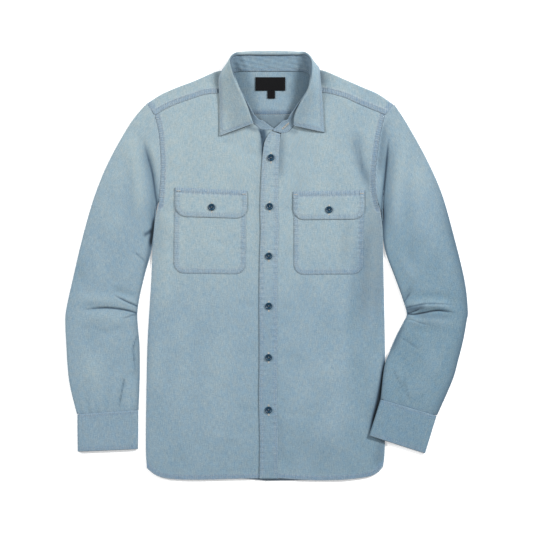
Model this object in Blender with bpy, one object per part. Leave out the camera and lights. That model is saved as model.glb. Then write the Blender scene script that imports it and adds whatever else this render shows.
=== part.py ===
"""A chambray work shirt laid flat on a table, front up, with its sleeves down its sides.

Metres, +Z up from the table, +Y towards the collar, +X towards the wearer's left arm.
The origin is on the table under the middle of the shirt. "Right" and "left" are the
wearer's, so right pieces lie at -X. Tables and helpers work in millimetres.
"""
import math

import bpy
import bmesh
from mathutils import Vector

MM = 0.001

# Cloth, in millimetres
CLOTH = 1.2            # one layer of chambray with its give
PLY = 1.6              # a faced layer: collar, stand and placket
CUFF_PLY = 2.0         # the cuff is two layers and a stiffener
LABEL_PLY = 1.0
SEAM_GAP = 0.4         # between two pieces that are sewn edge to edge
ARMHOLE_GAP = 0.9      # the same round the armhole, whose curve the pieces cut in chords
YOKE_GAP = 0.8         # and at the fronts' seams with the yoke, where the cloth slopes
LAY_GAP = 0.5          # between two pieces that lie on each other

# How the layers lie
FRONT_REST = CLOTH + 0.3 + CLOTH / 2   # middle of the front's cloth at the side folds
FRONT_LOFT = 2.4       # how far the fronts lift off the back
SIDE_ROLL = 12.0       # how wide the lift takes to build up
LAP_LIFT = 1.2         # the left front climbs to the placket that laps the right front
LAP_WIDTH = 18.0
FOLD_RADIUS = 1.6      # half the height of a folded edge, to the middle of the cloth
SLEEVE_LOFT = 1.6
CUFF_LOFT = 0.8
ARMPIT_Y = 106.0
HEM_Y = -386.0
MIDDLE_X = 8.0         # the middle of the neck
COLLAR_LIFT = 1.9      # the yoke rises over the collar that is tucked under it
NECK_DIP = 1.2         # the yoke's neck edge curves down between the shoulders
TUBE_HOLLOW = 0.8      # least room between a sleeve's two layers

# Plan curves, (x, y) in millimetres
SIDE_RIGHT = [(-214.2, -363.6), (-216.0, -335.0), (-215.9, -277.2), (-213.3, -142.2),
              (-207.0, -36.0), (-203.4, 46.8), (-200.3, 79.2), (-192.8, 111.0)]
SIDE_LEFT = [(207.9, -361.8), (211.1, -334.8), (212.4, -277.2), (212.4, -151.2),
             (209.7, -7.2), (208.8, 46.8), (208.0, 79.2), (203.6, 106.0)]
ARMHOLE_RIGHT = [(-192.8, 111.0), (-190.8, 136.8), (-189.0, 169.2), (-189.5, 205.2),
                 (-193.0, 243.0), (-199.8, 271.8)]
ARMHOLE_LEFT = [(203.6, 106.0), (198.9, 122.4), (196.2, 147.6), (197.1, 176.4),
                (204.5, 234.0), (213.8, 272.7)]
HEM_RIGHT = [(-214.2, -363.6), (-201.6, -374.4), (-187.2, -380.7), (-165.0, -384.5),
             (-120.0, -386.3), (-46.8, -386.3), (19.0, -386.2)]
HEM_LEFT = [(21.0, -386.4), (80.0, -387.1), (118.0, -386.9), (150.0, -385.4),
            (183.6, -377.6), (207.9, -361.8)]
YOKE_SEAM_RIGHT = [(-199.8, 271.8), (-171.5, 287.0), (-137.9, 299.5), (-106.0, 309.0),
                   (-63.8, 312.0)]
YOKE_SEAM_LEFT = [(81.4, 312.3), (108.0, 311.5), (141.7, 303.0), (167.4, 291.5),
                  (213.8, 272.7)]
SHOULDER_RIGHT = [(-214.6, 292.3), (-187.2, 309.6), (-158.4, 322.2), (-129.6, 333.0),
                  (-100.8, 345.6), (-86.4, 350.6), (-66.0, 353.5)]
SHOULDER_LEFT = [(83.0, 353.8), (100.8, 352.2), (115.2, 347.4), (144.0, 334.8),
                 (172.8, 322.2), (201.6, 309.6), (230.0, 290.2)]
NECK_RIGHT = [(-63.8, 312.0), (-50.8, 283.6), (-38.2, 264.3), (-22.9, 254.6),
              (-10.7, 245.7), (4.0, 243.7), (19.6, 242.8)]
NECK_LEFT = [(27.2, 237.6), (33.0, 237.9), (41.0, 240.9), (50.4, 250.5), (58.5, 264.0),
             (71.5, 284.0), (81.4, 312.3)]
SEAM_SPANS = 8         # straight runs that the yoke and a front share along their seam
ARMHOLE_SPANS = 7      # and that a front and the back share round the armhole

# The placket from the neck down: its free edge, then its seam to the left front
PLACKET = [((8.8, 242.4), (26.0, 237.6)), ((-0.5, 227.9), (25.0, 225.0)),
           ((-4.5, 212.4), (23.6, 209.0)), ((-7.9, 172.8), (22.6, 172.0)),
           ((-10.4, 104.4), (22.0, 104.4)), ((-9.5, 64.8), (22.9, 64.8)),
           ((-11.3, 10.8), (21.1, 10.8)), ((-12.1, -64.8), (20.3, -64.8)),
           ((-11.7, -165.6), (20.7, -165.6)), ((-12.6, -235.8), (19.8, -235.8)),
           ((-11.0, -313.2), (21.4, -313.2)), ((-11.9, -386.8), (20.5, -387.2))]
LAP_HIDDEN = 1.6       # the right front's edge stops this far short of that seam

# Sleeves from the armhole to the cuff: outer edge, then inner edge
SLEEVE_RIGHT = [((-215.2, 291.8), (-197.0, 108.0)), ((-243.0, 258.3), (-199.8, 95.4)),
                ((-280.8, 193.5), (-205.6, 61.2)), ((-307.8, 129.6), (-209.7, 27.0)),
                ((-329.4, 54.0), (-219.6, -14.4)), ((-349.2, -28.8), (-228.6, -54.0)),
                ((-360.5, -81.0), (-233.1, -84.6)), ((-361.8, -108.0), (-232.2, -108.0)),
                ((-360.0, -140.4), (-229.3, -140.4)), ((-357.3, -180.0), (-228.6, -180.0)),
                ((-352.8, -216.0), (-229.3, -212.4)), ((-339.6, -266.4), (-231.3, -259.2))]
SLEEVE_LEFT = [((230.6, 289.6), (208.4, 102.6)), ((252.0, 256.5), (210.6, 88.2)),
               ((286.2, 193.5), (211.5, 54.0)), ((314.1, 129.6), (216.0, 21.6)),
               ((334.8, 54.0), (230.4, -19.8)), ((354.6, -25.2), (243.9, -59.4)),
               ((361.8, -79.2), (251.3, -86.4)), ((359.6, -100.8), (245.7, -100.8)),
               ((353.7, -133.2), (233.1, -126.0)), ((344.7, -169.2), (221.4, -154.8)),
               ((333.0, -205.2), (212.4, -181.8)), ((306.0, -268.2), (206.2, -239.0))]
# Cuffs from the sleeve to the wrist edge
CUFF_RIGHT = [((-338.6, -266.9), (-231.7, -259.7)), ((-338.0, -301.0), (-231.9, -295.0)),
              ((-337.5, -333.9), (-232.4, -329.4))]
CUFF_LEFT = [((305.2, -269.2), (205.8, -240.0)), ((294.6, -303.0), (195.6, -272.6)),
             ((284.4, -336.6), (185.4, -304.9))]

# Folds, one row each: path (x, y), height (a trough is below zero), width, all in mm
BODY_FOLDS = [
    ([(196, 205), (199, 120), (196, 20), (186, -110)], 1.3, 15.0),
    ([(61, 236), (49, 190), (38, 150)], -0.9, 11.0),
    ([(-64, 225), (-52, 170), (-40, 150)], 0.8, 14.0),
    ([(-192, -120), (-198, -175), (-199, -240)], 1.2, 11.0),
    ([(33, -280), (41, -340), (36, -372)], -0.8, 9.0),
    ([(-100, -120), (-92, -230), (-104, -330)], 0.9, 22.0),
    ([(112, -110), (104, -220), (118, -340)], 0.9, 24.0),
]
SLEEVE_FOLDS_RIGHT = [
    ([(-227, 239), (-214, 200), (-203, 150), (-200, 98), (-206, 65), (-209, 40)], -2.4, 5.0),
    ([(-240, 236), (-228, 195), (-217, 140), (-217, 85)], 2.2, 8.5),
    ([(-262, 190), (-268, 110), (-276, 40)], 1.3, 13.0),
    ([(-345, -74), (-288, -76), (-228, -86)], -2.2, 5.0),
    ([(-345, -60), (-288, -61), (-232, -68)], 2.2, 7.0),
    ([(-345, -96), (-290, -92), (-235, -100)], 1.8, 8.0),
    ([(-276, -40), (-252, -50), (-230, -56)], -1.3, 5.0),
    ([(-240, -125), (-239, -165), (-239, -215)], -1.6, 6.0),
    ([(-253, -190), (-262, -225), (-268, -264)], -1.4, 4.5),
    ([(-300, -150), (-306, -200), (-303, -262)], 1.1, 12.0),
]
SLEEVE_FOLDS_LEFT = [
    ([(222, 232), (216, 173), (212, 110), (212, 60), (213, 36)], -2.4, 5.0),
    ([(236, 225), (229, 170), (224, 110), (223, 60)], 2.4, 8.0),
    ([(268, 200), (276, 110), (284, 30)], 1.3, 13.0),
    ([(250, -88), (274, -87), (304, -80), (342, -90)], -2.6, 5.0),
    ([(250, -74), (290, -71), (336, -74)], 2.6, 6.5),
    ([(250, -101), (290, -97), (338, -106)], 2.2, 7.5),
    ([(262, -56), (300, -54), (346, -62)], -1.3, 5.5),
    ([(268, -122), (250, -160), (240, -196)], -1.4, 7.0),
    ([(300, -140), (290, -190), (268, -250)], 1.3, 12.0),
]

# The collar from its right point round the back of the neck to its left point:
# roll (x, y) and crest z, roll radius, heading of its outside, where the leaf lands,
# how far it is tucked under, the stand's foot, how far the stand shows inside the leaf
COLLAR = [
    ((-24.5, 255.5, 9.5), 1.6, 212, (-83.5, 233.5, 6.5), 0, (-22.0, 255.4, 4.7), 13),
    ((-30.3, 270.0, 14.0), 2.2, 202, (-83.8, 252.0, 6.6), 0, (-36.6, 265.0, 4.8), 7),
    ((-39.7, 294.3, 20.0), 3.0, 190, (-83.8, 284.0, 6.9), 0, (-50.0, 284.4, 4.9), 3),
    ((-53.4, 324.4, 26.0), 3.6, 175, (-84.6, 318.0, 7.8), 0, (-61.4, 311.0, 5.2), 0),
    ((-62.6, 351.4, 28.0), 3.2, 160, (-86.5, 338.0, 8.6), 0, (-63.4, 333.0, 5.4), 0),
    ((-66.5, 369.8, 25.0), 1.8, 145, (-77.5, 357.5, 5.0), 0, (-60.8, 346.0, 5.2), 0),
    ((-58.2, 379.5, 19.0), 2.5, 120, (-60.5, 363.5, 0.9), 12, (-48.0, 350.2, 4.6), 0),
    ((-39.5, 382.3, 15.5), 2.9, 97, (-38.0, 359.0, 0.8), 15, (-30.0, 350.3, 4.4), 0),
    ((8.0, 382.8, 14.0), 3.8, 90, (8.0, 358.0, 0.8), 15, (8.0, 350.2, 4.4), 0),
    ((54.5, 382.3, 15.5), 2.9, 83, (53.0, 359.0, 0.8), 15, (46.0, 350.3, 4.4), 0),
    ((70.8, 381.0, 19.0), 2.5, 60, (75.0, 364.5, 0.9), 12, (64.0, 350.2, 4.6), 0),
    ((81.2, 369.5, 25.0), 1.8, 36, (94.0, 358.0, 5.0), 0, (77.6, 346.0, 5.2), 0),
    ((82.4, 347.2, 28.0), 3.2, 20, (97.6, 338.0, 8.6), 0, (80.4, 333.0, 5.4), 0),
    ((79.2, 319.4, 26.0), 3.4, 5, (99.8, 316.0, 7.8), 0, (79.0, 311.0, 5.2), 0),
    ((63.4, 290.9, 20.0), 3.0, -8, (102.9, 282.0, 6.9), 0, (70.6, 284.8, 5.0), 3),
    ((53.4, 269.2, 14.0), 2.2, -18, (104.4, 258.0, 6.6), 0, (57.4, 264.6, 5.0), 8),
    ((51.4, 251.6, 10.0), 1.6, -42, (105.5, 239.9, 6.6), 0, (49.4, 251.6, 5.2), 16),
]
# The ends of the stand past the leaf: foot, then top
STAND_END_RIGHT = [((20.5, 243.8, 4.7), (21.5, 246.6, 4.7)),
                   ((10.0, 244.6, 4.7), (11.9, 249.0, 4.7)),
                   ((-0.5, 244.8, 4.7), (1.0, 257.0, 4.9)),
                   ((-11.0, 246.8, 4.7), (-6.0, 261.8, 5.2))]
STAND_END_LEFT = [((40.2, 242.0, 5.6), (31.6, 261.6, 6.0)),
                  ((30.0, 239.0, 6.3), (26.4, 257.4, 6.5)),
                  ((20.5, 240.8, 6.9), (20.0, 251.8, 6.9)),
                  ((13.4, 243.4, 6.9), (14.0, 246.6, 6.9))]
LEAF_START = 165.0     # degrees round the roll where the leaf leaves the stand
LEAF_BULGE = 2.2
STAND_BELOW_ROLL = 1.3 # the stand's top edge under the middle of the roll
STAND_BELOW_OPEN = 0.9 # and further under it where the stand shows inside the leaf

# Pockets and flaps: top left, top right, bottom left, bottom right corner, and radius
POCKET_RIGHT = [(-164.5, 137.0), (-36.0, 133.0), (-166.1, -13.0), (-36.7, -14.5), 17.0]
POCKET_LEFT = [(49.9, 130.5), (175.9, 133.0), (49.9, -15.8), (175.0, -14.2), 17.0]
FLAP_RIGHT = [(-163.5, 141.3), (-34.5, 135.5), (-163.0, 89.5), (-34.2, 85.7), 16.0]
FLAP_LEFT = [(48.6, 133.6), (177.1, 136.3), (49.2, 83.3), (176.8, 84.5), 16.0]

# Buttons, 12.7 mm (20 ligne)
BUTTON_RADIUS = 6.35
BUTTON_HEIGHT = 2.6
FRONT_BUTTONS = [(9.0, 194.9), (6.5, 107.1), (5.0, 18.0), (5.0, -72.0), (4.7, -164.5),
                 (4.7, -258.8)]
FLAP_BUTTON_RIGHT = (-97.7, 105.8)
FLAP_BUTTON_LEFT = (113.4, 101.3)
COLLAR_BUTTON = (-7.6, 253.4)
COLLAR_BUTTON_RADIUS = 5.2
COLLAR_BUTTON_HEIGHT = 2.0

# Labels inside the back of the neck: left, right, bottom, top
NECK_LABEL = (-19.1, 34.7, 315.5, 339.7)
SIZE_TAB = (2.5, 16.2, 301.3, 315.0)

# Finishes: colour, roughness
CHAMBRAY = ("chambray", (0.30, 0.44, 0.53), 0.9)
BUTTON_RESIN = ("button_resin", (0.006, 0.035, 0.075), 0.25)
LABEL_TAPE = ("label_tape", (0.012, 0.012, 0.013), 0.8)


def mix(low, high, share):
    """The point or number at a share of the way from low to high."""
    if isinstance(low, tuple):
        return tuple(mix(a, b, share) for a, b in zip(low, high))
    return low + (high - low) * share


def ramp(value, low, high):
    """0 below low, 1 above high, smooth between."""
    share = min(max((value - low) / (high - low), 0.0), 1.0)
    return share * share * (3.0 - 2.0 * share)


def smooth_at(rows, place):
    """A Catmull-Rom curve through the rows, which are tuples or nested tuples."""
    last = len(rows) - 1
    place = min(max(place, 0.0), float(last))
    first = min(int(place), last - 1)
    share = place - first
    near = [rows[max(first - 1, 0)], rows[first], rows[first + 1], rows[min(first + 2, last)]]
    return catmull(near, share)


def catmull(near, t):
    """One span of the curve, worked on each number in the rows."""
    if isinstance(near[0], tuple):
        return tuple(catmull([row[i] for row in near], t) for i in range(len(near[0])))
    a, b, c, d = near
    return 0.5 * (2 * b + (c - a) * t + (2 * a - 5 * b + 4 * c - d) * t * t
                  + (3 * b - a - 3 * c + d) * t * t * t)


def spread(points, spans):
    """Evenly spaced points on the smooth curve through the points."""
    fine = [smooth_at(points, k / 12) for k in range((len(points) - 1) * 12 + 1)]
    reach = [0.0]
    for one, two in zip(fine, fine[1:]):
        reach.append(reach[-1] + math.dist(one, two))
    placed = []
    for k in range(spans + 1):
        want = reach[-1] * k / spans
        i = max(j for j in range(len(fine) - 1) if reach[j] <= want + 1e-9)
        placed.append(mix(fine[i], fine[i + 1], (want - reach[i]) / (reach[i + 1] - reach[i])))
    return placed


def run_at(points, share):
    """The point at a share of the length along straight runs."""
    lengths = [math.dist(a, b) for a, b in zip(points, points[1:])]
    want = min(max(share, 0.0), 1.0) * sum(lengths)
    for one, two, length in zip(points, points[1:], lengths):
        if want <= length:
            return mix(one, two, want / length)
        want -= length
    return points[-1]


def fill(bottom, top, left, right):
    """Rows of plan points that span four edges, from the bottom row up."""
    rows = []
    for i, (start, end) in enumerate(zip(left, right)):
        v = i / (len(left) - 1)
        row = []
        for j, (low, high) in enumerate(zip(bottom, top)):
            u = j / (len(bottom) - 1)
            across = mix(start, end, u)
            upward = mix(low, high, v)
            corners = mix(mix(bottom[0], bottom[-1], u), mix(top[0], top[-1], u), v)
            row.append(tuple(a + b - c for a, b, c in zip(across, upward, corners)))
        rows.append(row)
    return rows


def moved(points, dx, dy):
    return [(x + dx, y + dy) for x, y in points]


def x_at(points, y):
    """The x of a plan curve at a height y, along straight runs."""
    for (x0, y0), (x1, y1) in zip(points, points[1:]):
        if y0 <= y <= y1:
            return mix(x0, x1, (y - y0) / (y1 - y0))
    return points[0][0] if y < points[0][1] else points[-1][0]


def fold_relief(x, y, folds):
    """How far the folds raise or sink the cloth at a point."""
    total = 0.0
    for path, height, width in folds:
        lengths = [math.dist(a, b) for a, b in zip(path, path[1:])]
        best = (1e9, 0.0)
        passed = 0.0
        for (x0, y0), (x1, y1), length in zip(path, path[1:], lengths):
            share = ((x - x0) * (x1 - x0) + (y - y0) * (y1 - y0)) / length ** 2
            share = min(max(share, 0.0), 1.0)
            away = math.dist((x, y), mix((x0, y0), (x1, y1), share))
            best = min(best, (away, (passed + share * length) / sum(lengths)))
            passed += length
        away, along = best
        taper = ramp(along, -0.05, 0.3) * ramp(1.0 - along, -0.05, 0.3)
        total += height * taper * math.exp(-0.5 * (away / width) ** 2)
    return total


def front_middle(x, y):
    """Height of the middle of the fronts' cloth."""
    side = min(x - x_at(SIDE_RIGHT, y), x_at(SIDE_LEFT, y) - x)
    side = max(side, 0.0) + max(y - ARMPIT_Y, 0.0)
    lift = 1.0 - math.exp(-side / SIDE_ROLL)
    hem = 0.5 + 0.5 * ramp(y, HEM_Y, HEM_Y + 60.0)
    return FRONT_REST + FRONT_LOFT * lift * hem + fold_relief(x, y, BODY_FOLDS) * lift


def left_front_middle(x, y):
    """The left front climbs towards its seam with the placket."""
    past_seam = max(x - placket_edges(y)[1], 0.0)
    return front_middle(x, y) + LAP_LIFT * math.exp(-past_seam / LAP_WIDTH)


def placket_edges(y):
    """The x of the placket's free edge and of its seam at a height y."""
    free = [pair[0] for pair in reversed(PLACKET)]
    seam = [pair[1] for pair in reversed(PLACKET)]
    return x_at(free, y), x_at(seam, y)


def yoke_back_middle(x, y):
    """Height of the middle of the yoke's cloth behind the neck."""
    near_neck = 1.0 - ramp(abs(x - MIDDLE_X), 76.0, 100.0)
    return CLOTH / 2 + COLLAR_LIFT * ramp(y, 303.0, 339.0) * near_neck


def finish_material(finish):
    name, colour, roughness = finish
    material = bpy.data.materials.get(name)
    if material is None:
        material = bpy.data.materials.new(name)
        material.use_nodes = True
        shader = material.node_tree.nodes["Principled BSDF"]
        shader.inputs["Base Color"].default_value = (*colour, 1.0)
        shader.inputs["Roughness"].default_value = roughness
        shader.inputs["Metallic"].default_value = 0.0
    return material


def add_cloth(name, rows, thickness, finish=CHAMBRAY, tube=False):
    """A piece of cloth from rows of (x, y, z) points, with None where there is none.

    The points are the middle of the cloth, and Solidify gives it its thickness.
    With tube, each row closes on itself, and no corner is sharp enough to thin the wall
    by more than a tenth, so its offset is the plain one.
    """
    shape = bmesh.new()
    grid = []
    for row in rows:
        grid.append([None if p is None else shape.verts.new(Vector(p) * MM) for p in row])
    across = len(grid[0]) if tube else len(grid[0]) - 1
    for low, high in zip(grid, grid[1:]):
        for j in range(across):
            k = (j + 1) % len(low)
            corners = [low[j], low[k], high[k], high[j]]
            if None not in corners:
                shape.faces.new(corners)
    bmesh.ops.recalc_face_normals(shape, faces=shape.faces)
    mesh = bpy.data.meshes.new(name)
    shape.to_mesh(mesh)
    shape.free()
    mesh.materials.append(finish_material(finish))
    mesh.shade_smooth()
    piece = bpy.data.objects.new(name, mesh)
    bpy.context.collection.objects.link(piece)
    solid = piece.modifiers.new("thickness", "SOLIDIFY")
    solid.thickness = thickness * MM
    solid.offset = 0.0
    solid.use_even_offset = not tube


def raised(rows, height):
    """Plan rows given the height that a function works out at each point."""
    return [[(x, y, height(x, y)) for x, y in row] for row in rows]


def add_back_panel():
    """The back below the yoke, flat on the table."""
    short = 1.0                     # the back hem stays just inside the front hem
    across = 16
    hem = spread(HEM_RIGHT[:-1] + [(0.0, -386.3)], across // 2)
    hem += spread([(0.0, -386.3)] + HEM_LEFT[1:], across // 2)[1:]
    up_right = spread(SIDE_RIGHT, 12) + spread(ARMHOLE_RIGHT, ARMHOLE_SPANS)[1:]
    up_left = spread(SIDE_LEFT, 12) + spread(ARMHOLE_LEFT, ARMHOLE_SPANS)[1:]
    top = [mix(up_right[-1], up_left[-1], j / across) for j in range(across + 1)]
    rows = fill(moved(hem, 0.0, short), top, up_right, up_left)
    add_cloth("back_panel", raised(rows, lambda x, y: CLOTH / 2), CLOTH)


def add_front_right():
    """The front that the placket laps: its edge runs on under the placket."""
    seam = [pair[1] for pair in reversed(PLACKET)]
    edge = spread(moved(seam[:-1], -LAP_HIDDEN, 0.0) + [NECK_RIGHT[-1]], 25)
    side = spread(SIDE_RIGHT, 18) + spread(ARMHOLE_RIGHT, ARMHOLE_SPANS)[1:]
    hem = spread(HEM_RIGHT, SEAM_SPANS + 7)
    top = spread(YOKE_SEAM_RIGHT, SEAM_SPANS) + spread(NECK_RIGHT, 7)[1:]
    hem[-1] = edge[0]
    side[-1:] = moved(side[-1:], 0.0, -YOKE_GAP)
    edge[-1:] = moved(edge[-1:], 0.0, -YOKE_GAP)
    rows = fill(hem, moved(top, 0.0, -YOKE_GAP), side, edge)
    add_cloth("front_right", raised(rows, front_middle), CLOTH)


def add_front_left():
    """The front that carries the placket on its edge."""
    seam = [pair[1] for pair in reversed(PLACKET)]
    edge = spread(moved(seam[:-1], SEAM_GAP, 0.0) + [NECK_LEFT[0]], 25)
    side = spread(SIDE_LEFT, 18) + spread(ARMHOLE_LEFT, ARMHOLE_SPANS)[1:]
    hem = spread(HEM_LEFT, SEAM_SPANS + 7)
    top = spread(NECK_LEFT, 7) + spread(YOKE_SEAM_LEFT, SEAM_SPANS)[1:]
    hem[0] = edge[0]
    side[-1:] = moved(side[-1:], 0.0, -YOKE_GAP)
    edge[-1:] = moved(edge[-1:], 0.0, -YOKE_GAP)
    rows = fill(hem, moved(top, 0.0, -YOKE_GAP), edge, side)
    add_cloth("front_left", raised(rows, left_front_middle), CLOTH)


def add_placket():
    """The faced strip on the left front's edge, lying on the right front."""
    above = CLOTH / 2 + LAY_GAP + PLY / 2
    free = spread([pair[0] for pair in PLACKET], 34)
    seam = spread([pair[1] for pair in PLACKET], 34)
    rows = []
    for left, right in zip(free, seam):
        rows.append([mix(left, right, j / 3) for j in range(4)])
    add_cloth("placket", raised(rows, lambda x, y: front_middle(x, y) + above), PLY)


def shoulder_column(foot, crown, seam, back_spans, front_spans):
    """One run of the yoke: up the back, round the shoulder fold, down the front."""
    inset = CLOTH / 2 + FOLD_RADIUS
    reach = math.dist(foot, crown)
    turn = mix(foot, crown, 1.0 - inset / reach)
    heading = ((crown[0] - foot[0]) / reach, (crown[1] - foot[1]) / reach)
    column = []
    for k in range(back_spans + 1):
        x, y = mix(foot, turn, k / back_spans)
        column.append((x, y, yoke_back_middle(x, y)))
    low = column[-1][2]
    for degrees in (-45, 0, 45, 90):
        out = FOLD_RADIUS * math.cos(math.radians(degrees))
        up = FOLD_RADIUS * (1.0 + math.sin(math.radians(degrees)))
        column.append((turn[0] + heading[0] * out, turn[1] + heading[1] * out, low + up))
    high = column[-1][2]
    for k in range(1, front_spans + 1):
        x, y = mix(turn, seam, k / front_spans)
        column.append((x, y, mix(high, front_middle(*seam), ramp(k / front_spans, 0.0, 1.0))))
    return column


def back_seam_y(x):
    """The seam of the back to the yoke, straight between the two armholes."""
    right, left = ARMHOLE_RIGHT[-1], ARMHOLE_LEFT[-1]
    return mix(right[1], left[1], (x - right[0]) / (left[0] - right[0]))


def add_yoke():
    """One piece from the back seam over both shoulder folds to the front seams."""
    across, back_spans, front_spans = SEAM_SPANS, 7, 4
    crowns = spread(SHOULDER_RIGHT, across), spread(SHOULDER_LEFT, across)
    seams = spread(YOKE_SEAM_RIGHT, across), spread(YOKE_SEAM_LEFT, across)
    feet = []
    for (first, last) in ((-200.4, -66.0), (83.0, 214.4)):
        row = [mix(first, last, j / across) for j in range(across + 1)]
        feet.append([(x, back_seam_y(x) + SEAM_GAP) for x in row])
    columns = []
    for foot, crown, seam in zip(feet[0], crowns[0], seams[0]):
        columns.append(shoulder_column(foot, crown, seam, back_spans, front_spans))
    left_columns = []
    for foot, crown, seam in zip(feet[1], crowns[1], seams[1]):
        left_columns.append(shoulder_column(foot, crown, seam, back_spans, front_spans))
    neck_right, neck_left = columns[-1][back_spans], left_columns[0][back_spans]
    neck_spans = 8
    for j in range(1, neck_spans):
        foot = mix(feet[0][-1], feet[1][0], j / neck_spans)
        crown = mix(neck_right[:2], neck_left[:2], j / neck_spans)
        dip = NECK_DIP * math.sin(math.pi * j / neck_spans)
        column = []
        for k in range(back_spans + 1):
            x, y = mix(foot, (crown[0], crown[1] - dip), k / back_spans)
            column.append((x, y, yoke_back_middle(x, y)))
        columns.append(column + [None] * (len(left_columns[0]) - len(column)))
    add_cloth("yoke", columns + left_columns, CLOTH)


def rounded_rows(corners, spans_down, spans_across):
    """Plan rows of a pocket or flap from its top edge down round its lower corners."""
    top_left, top_right, low_left, low_right, radius = corners
    height = math.dist(top_left, low_left)
    width = math.dist(low_left, low_right)
    places = [(k / spans_down * (1.0 - radius / height), 0.0) for k in range(spans_down)]
    for degrees in (0, 22.5, 45, 67.5, 90):
        turn = math.radians(degrees)
        down = 1.0 - (radius / height) * (1.0 - math.sin(turn))
        places.append((down, (radius / width) * (1.0 - math.cos(turn))))
    rows = []
    for down, inset in places:
        left, right = mix(top_left, low_left, down), mix(top_right, low_right, down)
        rows.append([mix(left, right, inset + (1.0 - 2.0 * inset) * j / spans_across)
                     for j in range(spans_across + 1)])
    return rows


def add_pocket(side, corners, flap_corners, button_place, base):
    """A patch pocket, the flap over its mouth and the flap's button."""
    pocket_up = CLOTH / 2 + LAY_GAP + CLOTH / 2
    flap_up = pocket_up + CLOTH / 2 + LAY_GAP + CLOTH / 2
    rows = raised(rounded_rows(corners, 9, 9), lambda x, y: base(x, y) + pocket_up)
    add_cloth("pocket_" + side, rows, CLOTH)
    rows = raised(rounded_rows(flap_corners, 3, 9), lambda x, y: base(x, y) + flap_up)
    add_cloth("pocket_flap_" + side, rows, CLOTH)
    seat = base(*button_place) + flap_up + CLOTH / 2 + SEAM_GAP
    add_button("button_flap_" + side, button_place, seat, BUTTON_RADIUS, BUTTON_HEIGHT)


def add_button(name, place, seat, radius, height):
    """A turned four-hole button blank with a raised rim round a dish."""
    profile = [(0.0, 0.0), (0.72, 0.0), (1.0, 0.35), (1.0, 0.7), (0.86, 1.0), (0.66, 0.72),
               (0.0, 0.66)]
    sides = 16
    shape = bmesh.new()
    rings = []
    for out, up in profile:
        if out == 0.0:
            rings.append([shape.verts.new((0.0, 0.0, up * height * MM))] * sides)
            continue
        ring = []
        for k in range(sides):
            turn = 2.0 * math.pi * k / sides
            spot = (out * radius * math.cos(turn), out * radius * math.sin(turn), up * height)
            ring.append(shape.verts.new(Vector(spot) * MM))
        rings.append(ring)
    for low, high in zip(rings, rings[1:]):
        for k in range(sides):
            n = (k + 1) % sides
            corners = list(dict.fromkeys([low[k], low[n], high[n], high[k]]))
            shape.faces.new(corners)
    bmesh.ops.recalc_face_normals(shape, faces=shape.faces)
    mesh = bpy.data.meshes.new(name)
    shape.to_mesh(mesh)
    shape.free()
    mesh.materials.append(finish_material(BUTTON_RESIN))
    mesh.shade_smooth()
    mesh.set_sharp_from_angle(angle=math.radians(40.0))
    piece = bpy.data.objects.new(name, mesh)
    piece.location = (place[0] * MM, place[1] * MM, seat * MM)
    bpy.context.collection.objects.link(piece)


def add_front_buttons():
    """Six buttons down the placket, and the collar's under the stand's right end."""
    placket_top = CLOTH / 2 + LAY_GAP + PLY
    for number, place in enumerate(FRONT_BUTTONS, start=1):
        seat = front_middle(*place) + placket_top + SEAM_GAP
        add_button(f"button_front_{number}", place, seat, BUTTON_RADIUS, BUTTON_HEIGHT)
    add_button("button_collar", COLLAR_BUTTON, CLOTH + 0.3, COLLAR_BUTTON_RADIUS,
               COLLAR_BUTTON_HEIGHT)


def on_table(x, y):
    return 0.0


def over_body(x, y):
    """The left sleeve's underside climbs over the body's edge below the elbow."""
    edge = x_at(SIDE_LEFT, y)
    cleared = front_middle(min(x, edge), y) + CLOTH / 2 + LAY_GAP
    return cleared * ramp(edge - x, -26.0, -1.0) * ramp(-y, 140.0, 190.0)


def fold_normals(stations, place, hand):
    """Plan directions out of the tube at its outer and its inner fold."""
    step = 0.02 * (len(stations) - 1)
    before, after = smooth_at(stations, place - step), smooth_at(stations, place + step)
    normals = []
    for edge, side in ((0, hand), (1, -hand)):
        dx, dy = after[edge][0] - before[edge][0], after[edge][1] - before[edge][1]
        length = math.hypot(dx, dy)
        normals.append((side * dy / length, -side * dx / length))
    return normals


def turned_edge(centre, out, floor, top):
    """The three points round a fold, from the top of the tube to its floor."""
    radius = (top - floor) / 2.0
    points = []
    for degrees in (45, 0, -45):
        reach = FOLD_RADIUS * math.cos(math.radians(degrees))
        height = floor + radius * (1.0 + math.sin(math.radians(degrees)))
        points.append((centre[0] + out[0] * reach, centre[1] + out[1] * reach, height))
    return points


def tube_row(line, normals, thickness, loft, folds, lift):
    """One closed section of a flattened tube, from its outer fold over the top.

    line gives the plan point at a share of the way between the centres of the two folds.
    """
    tops, floors = 13, 5
    over = []
    for k in range(tops + 2):
        share = k / (tops + 1)
        x, y = line(share)
        crown = loft * (4.0 * share * (1.0 - share)) ** 0.6
        floor = lift(x, y) + thickness / 2
        top = floor + 2.0 * FOLD_RADIUS + crown + fold_relief(x, y, folds)
        over.append((x, y, max(top, floor + thickness + TUBE_HOLLOW)))
    under = []
    for k in range(floors + 2):
        x, y = line(1.0 - k / (floors + 1))
        under.append((x, y, lift(x, y) + thickness / 2))
    inner = turned_edge(over[-1], normals[1], under[0][2], over[-1][2])
    outer = turned_edge(over[0], normals[0], under[-1][2], over[0][2])
    return over + inner + under + list(reversed(outer))


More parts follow.
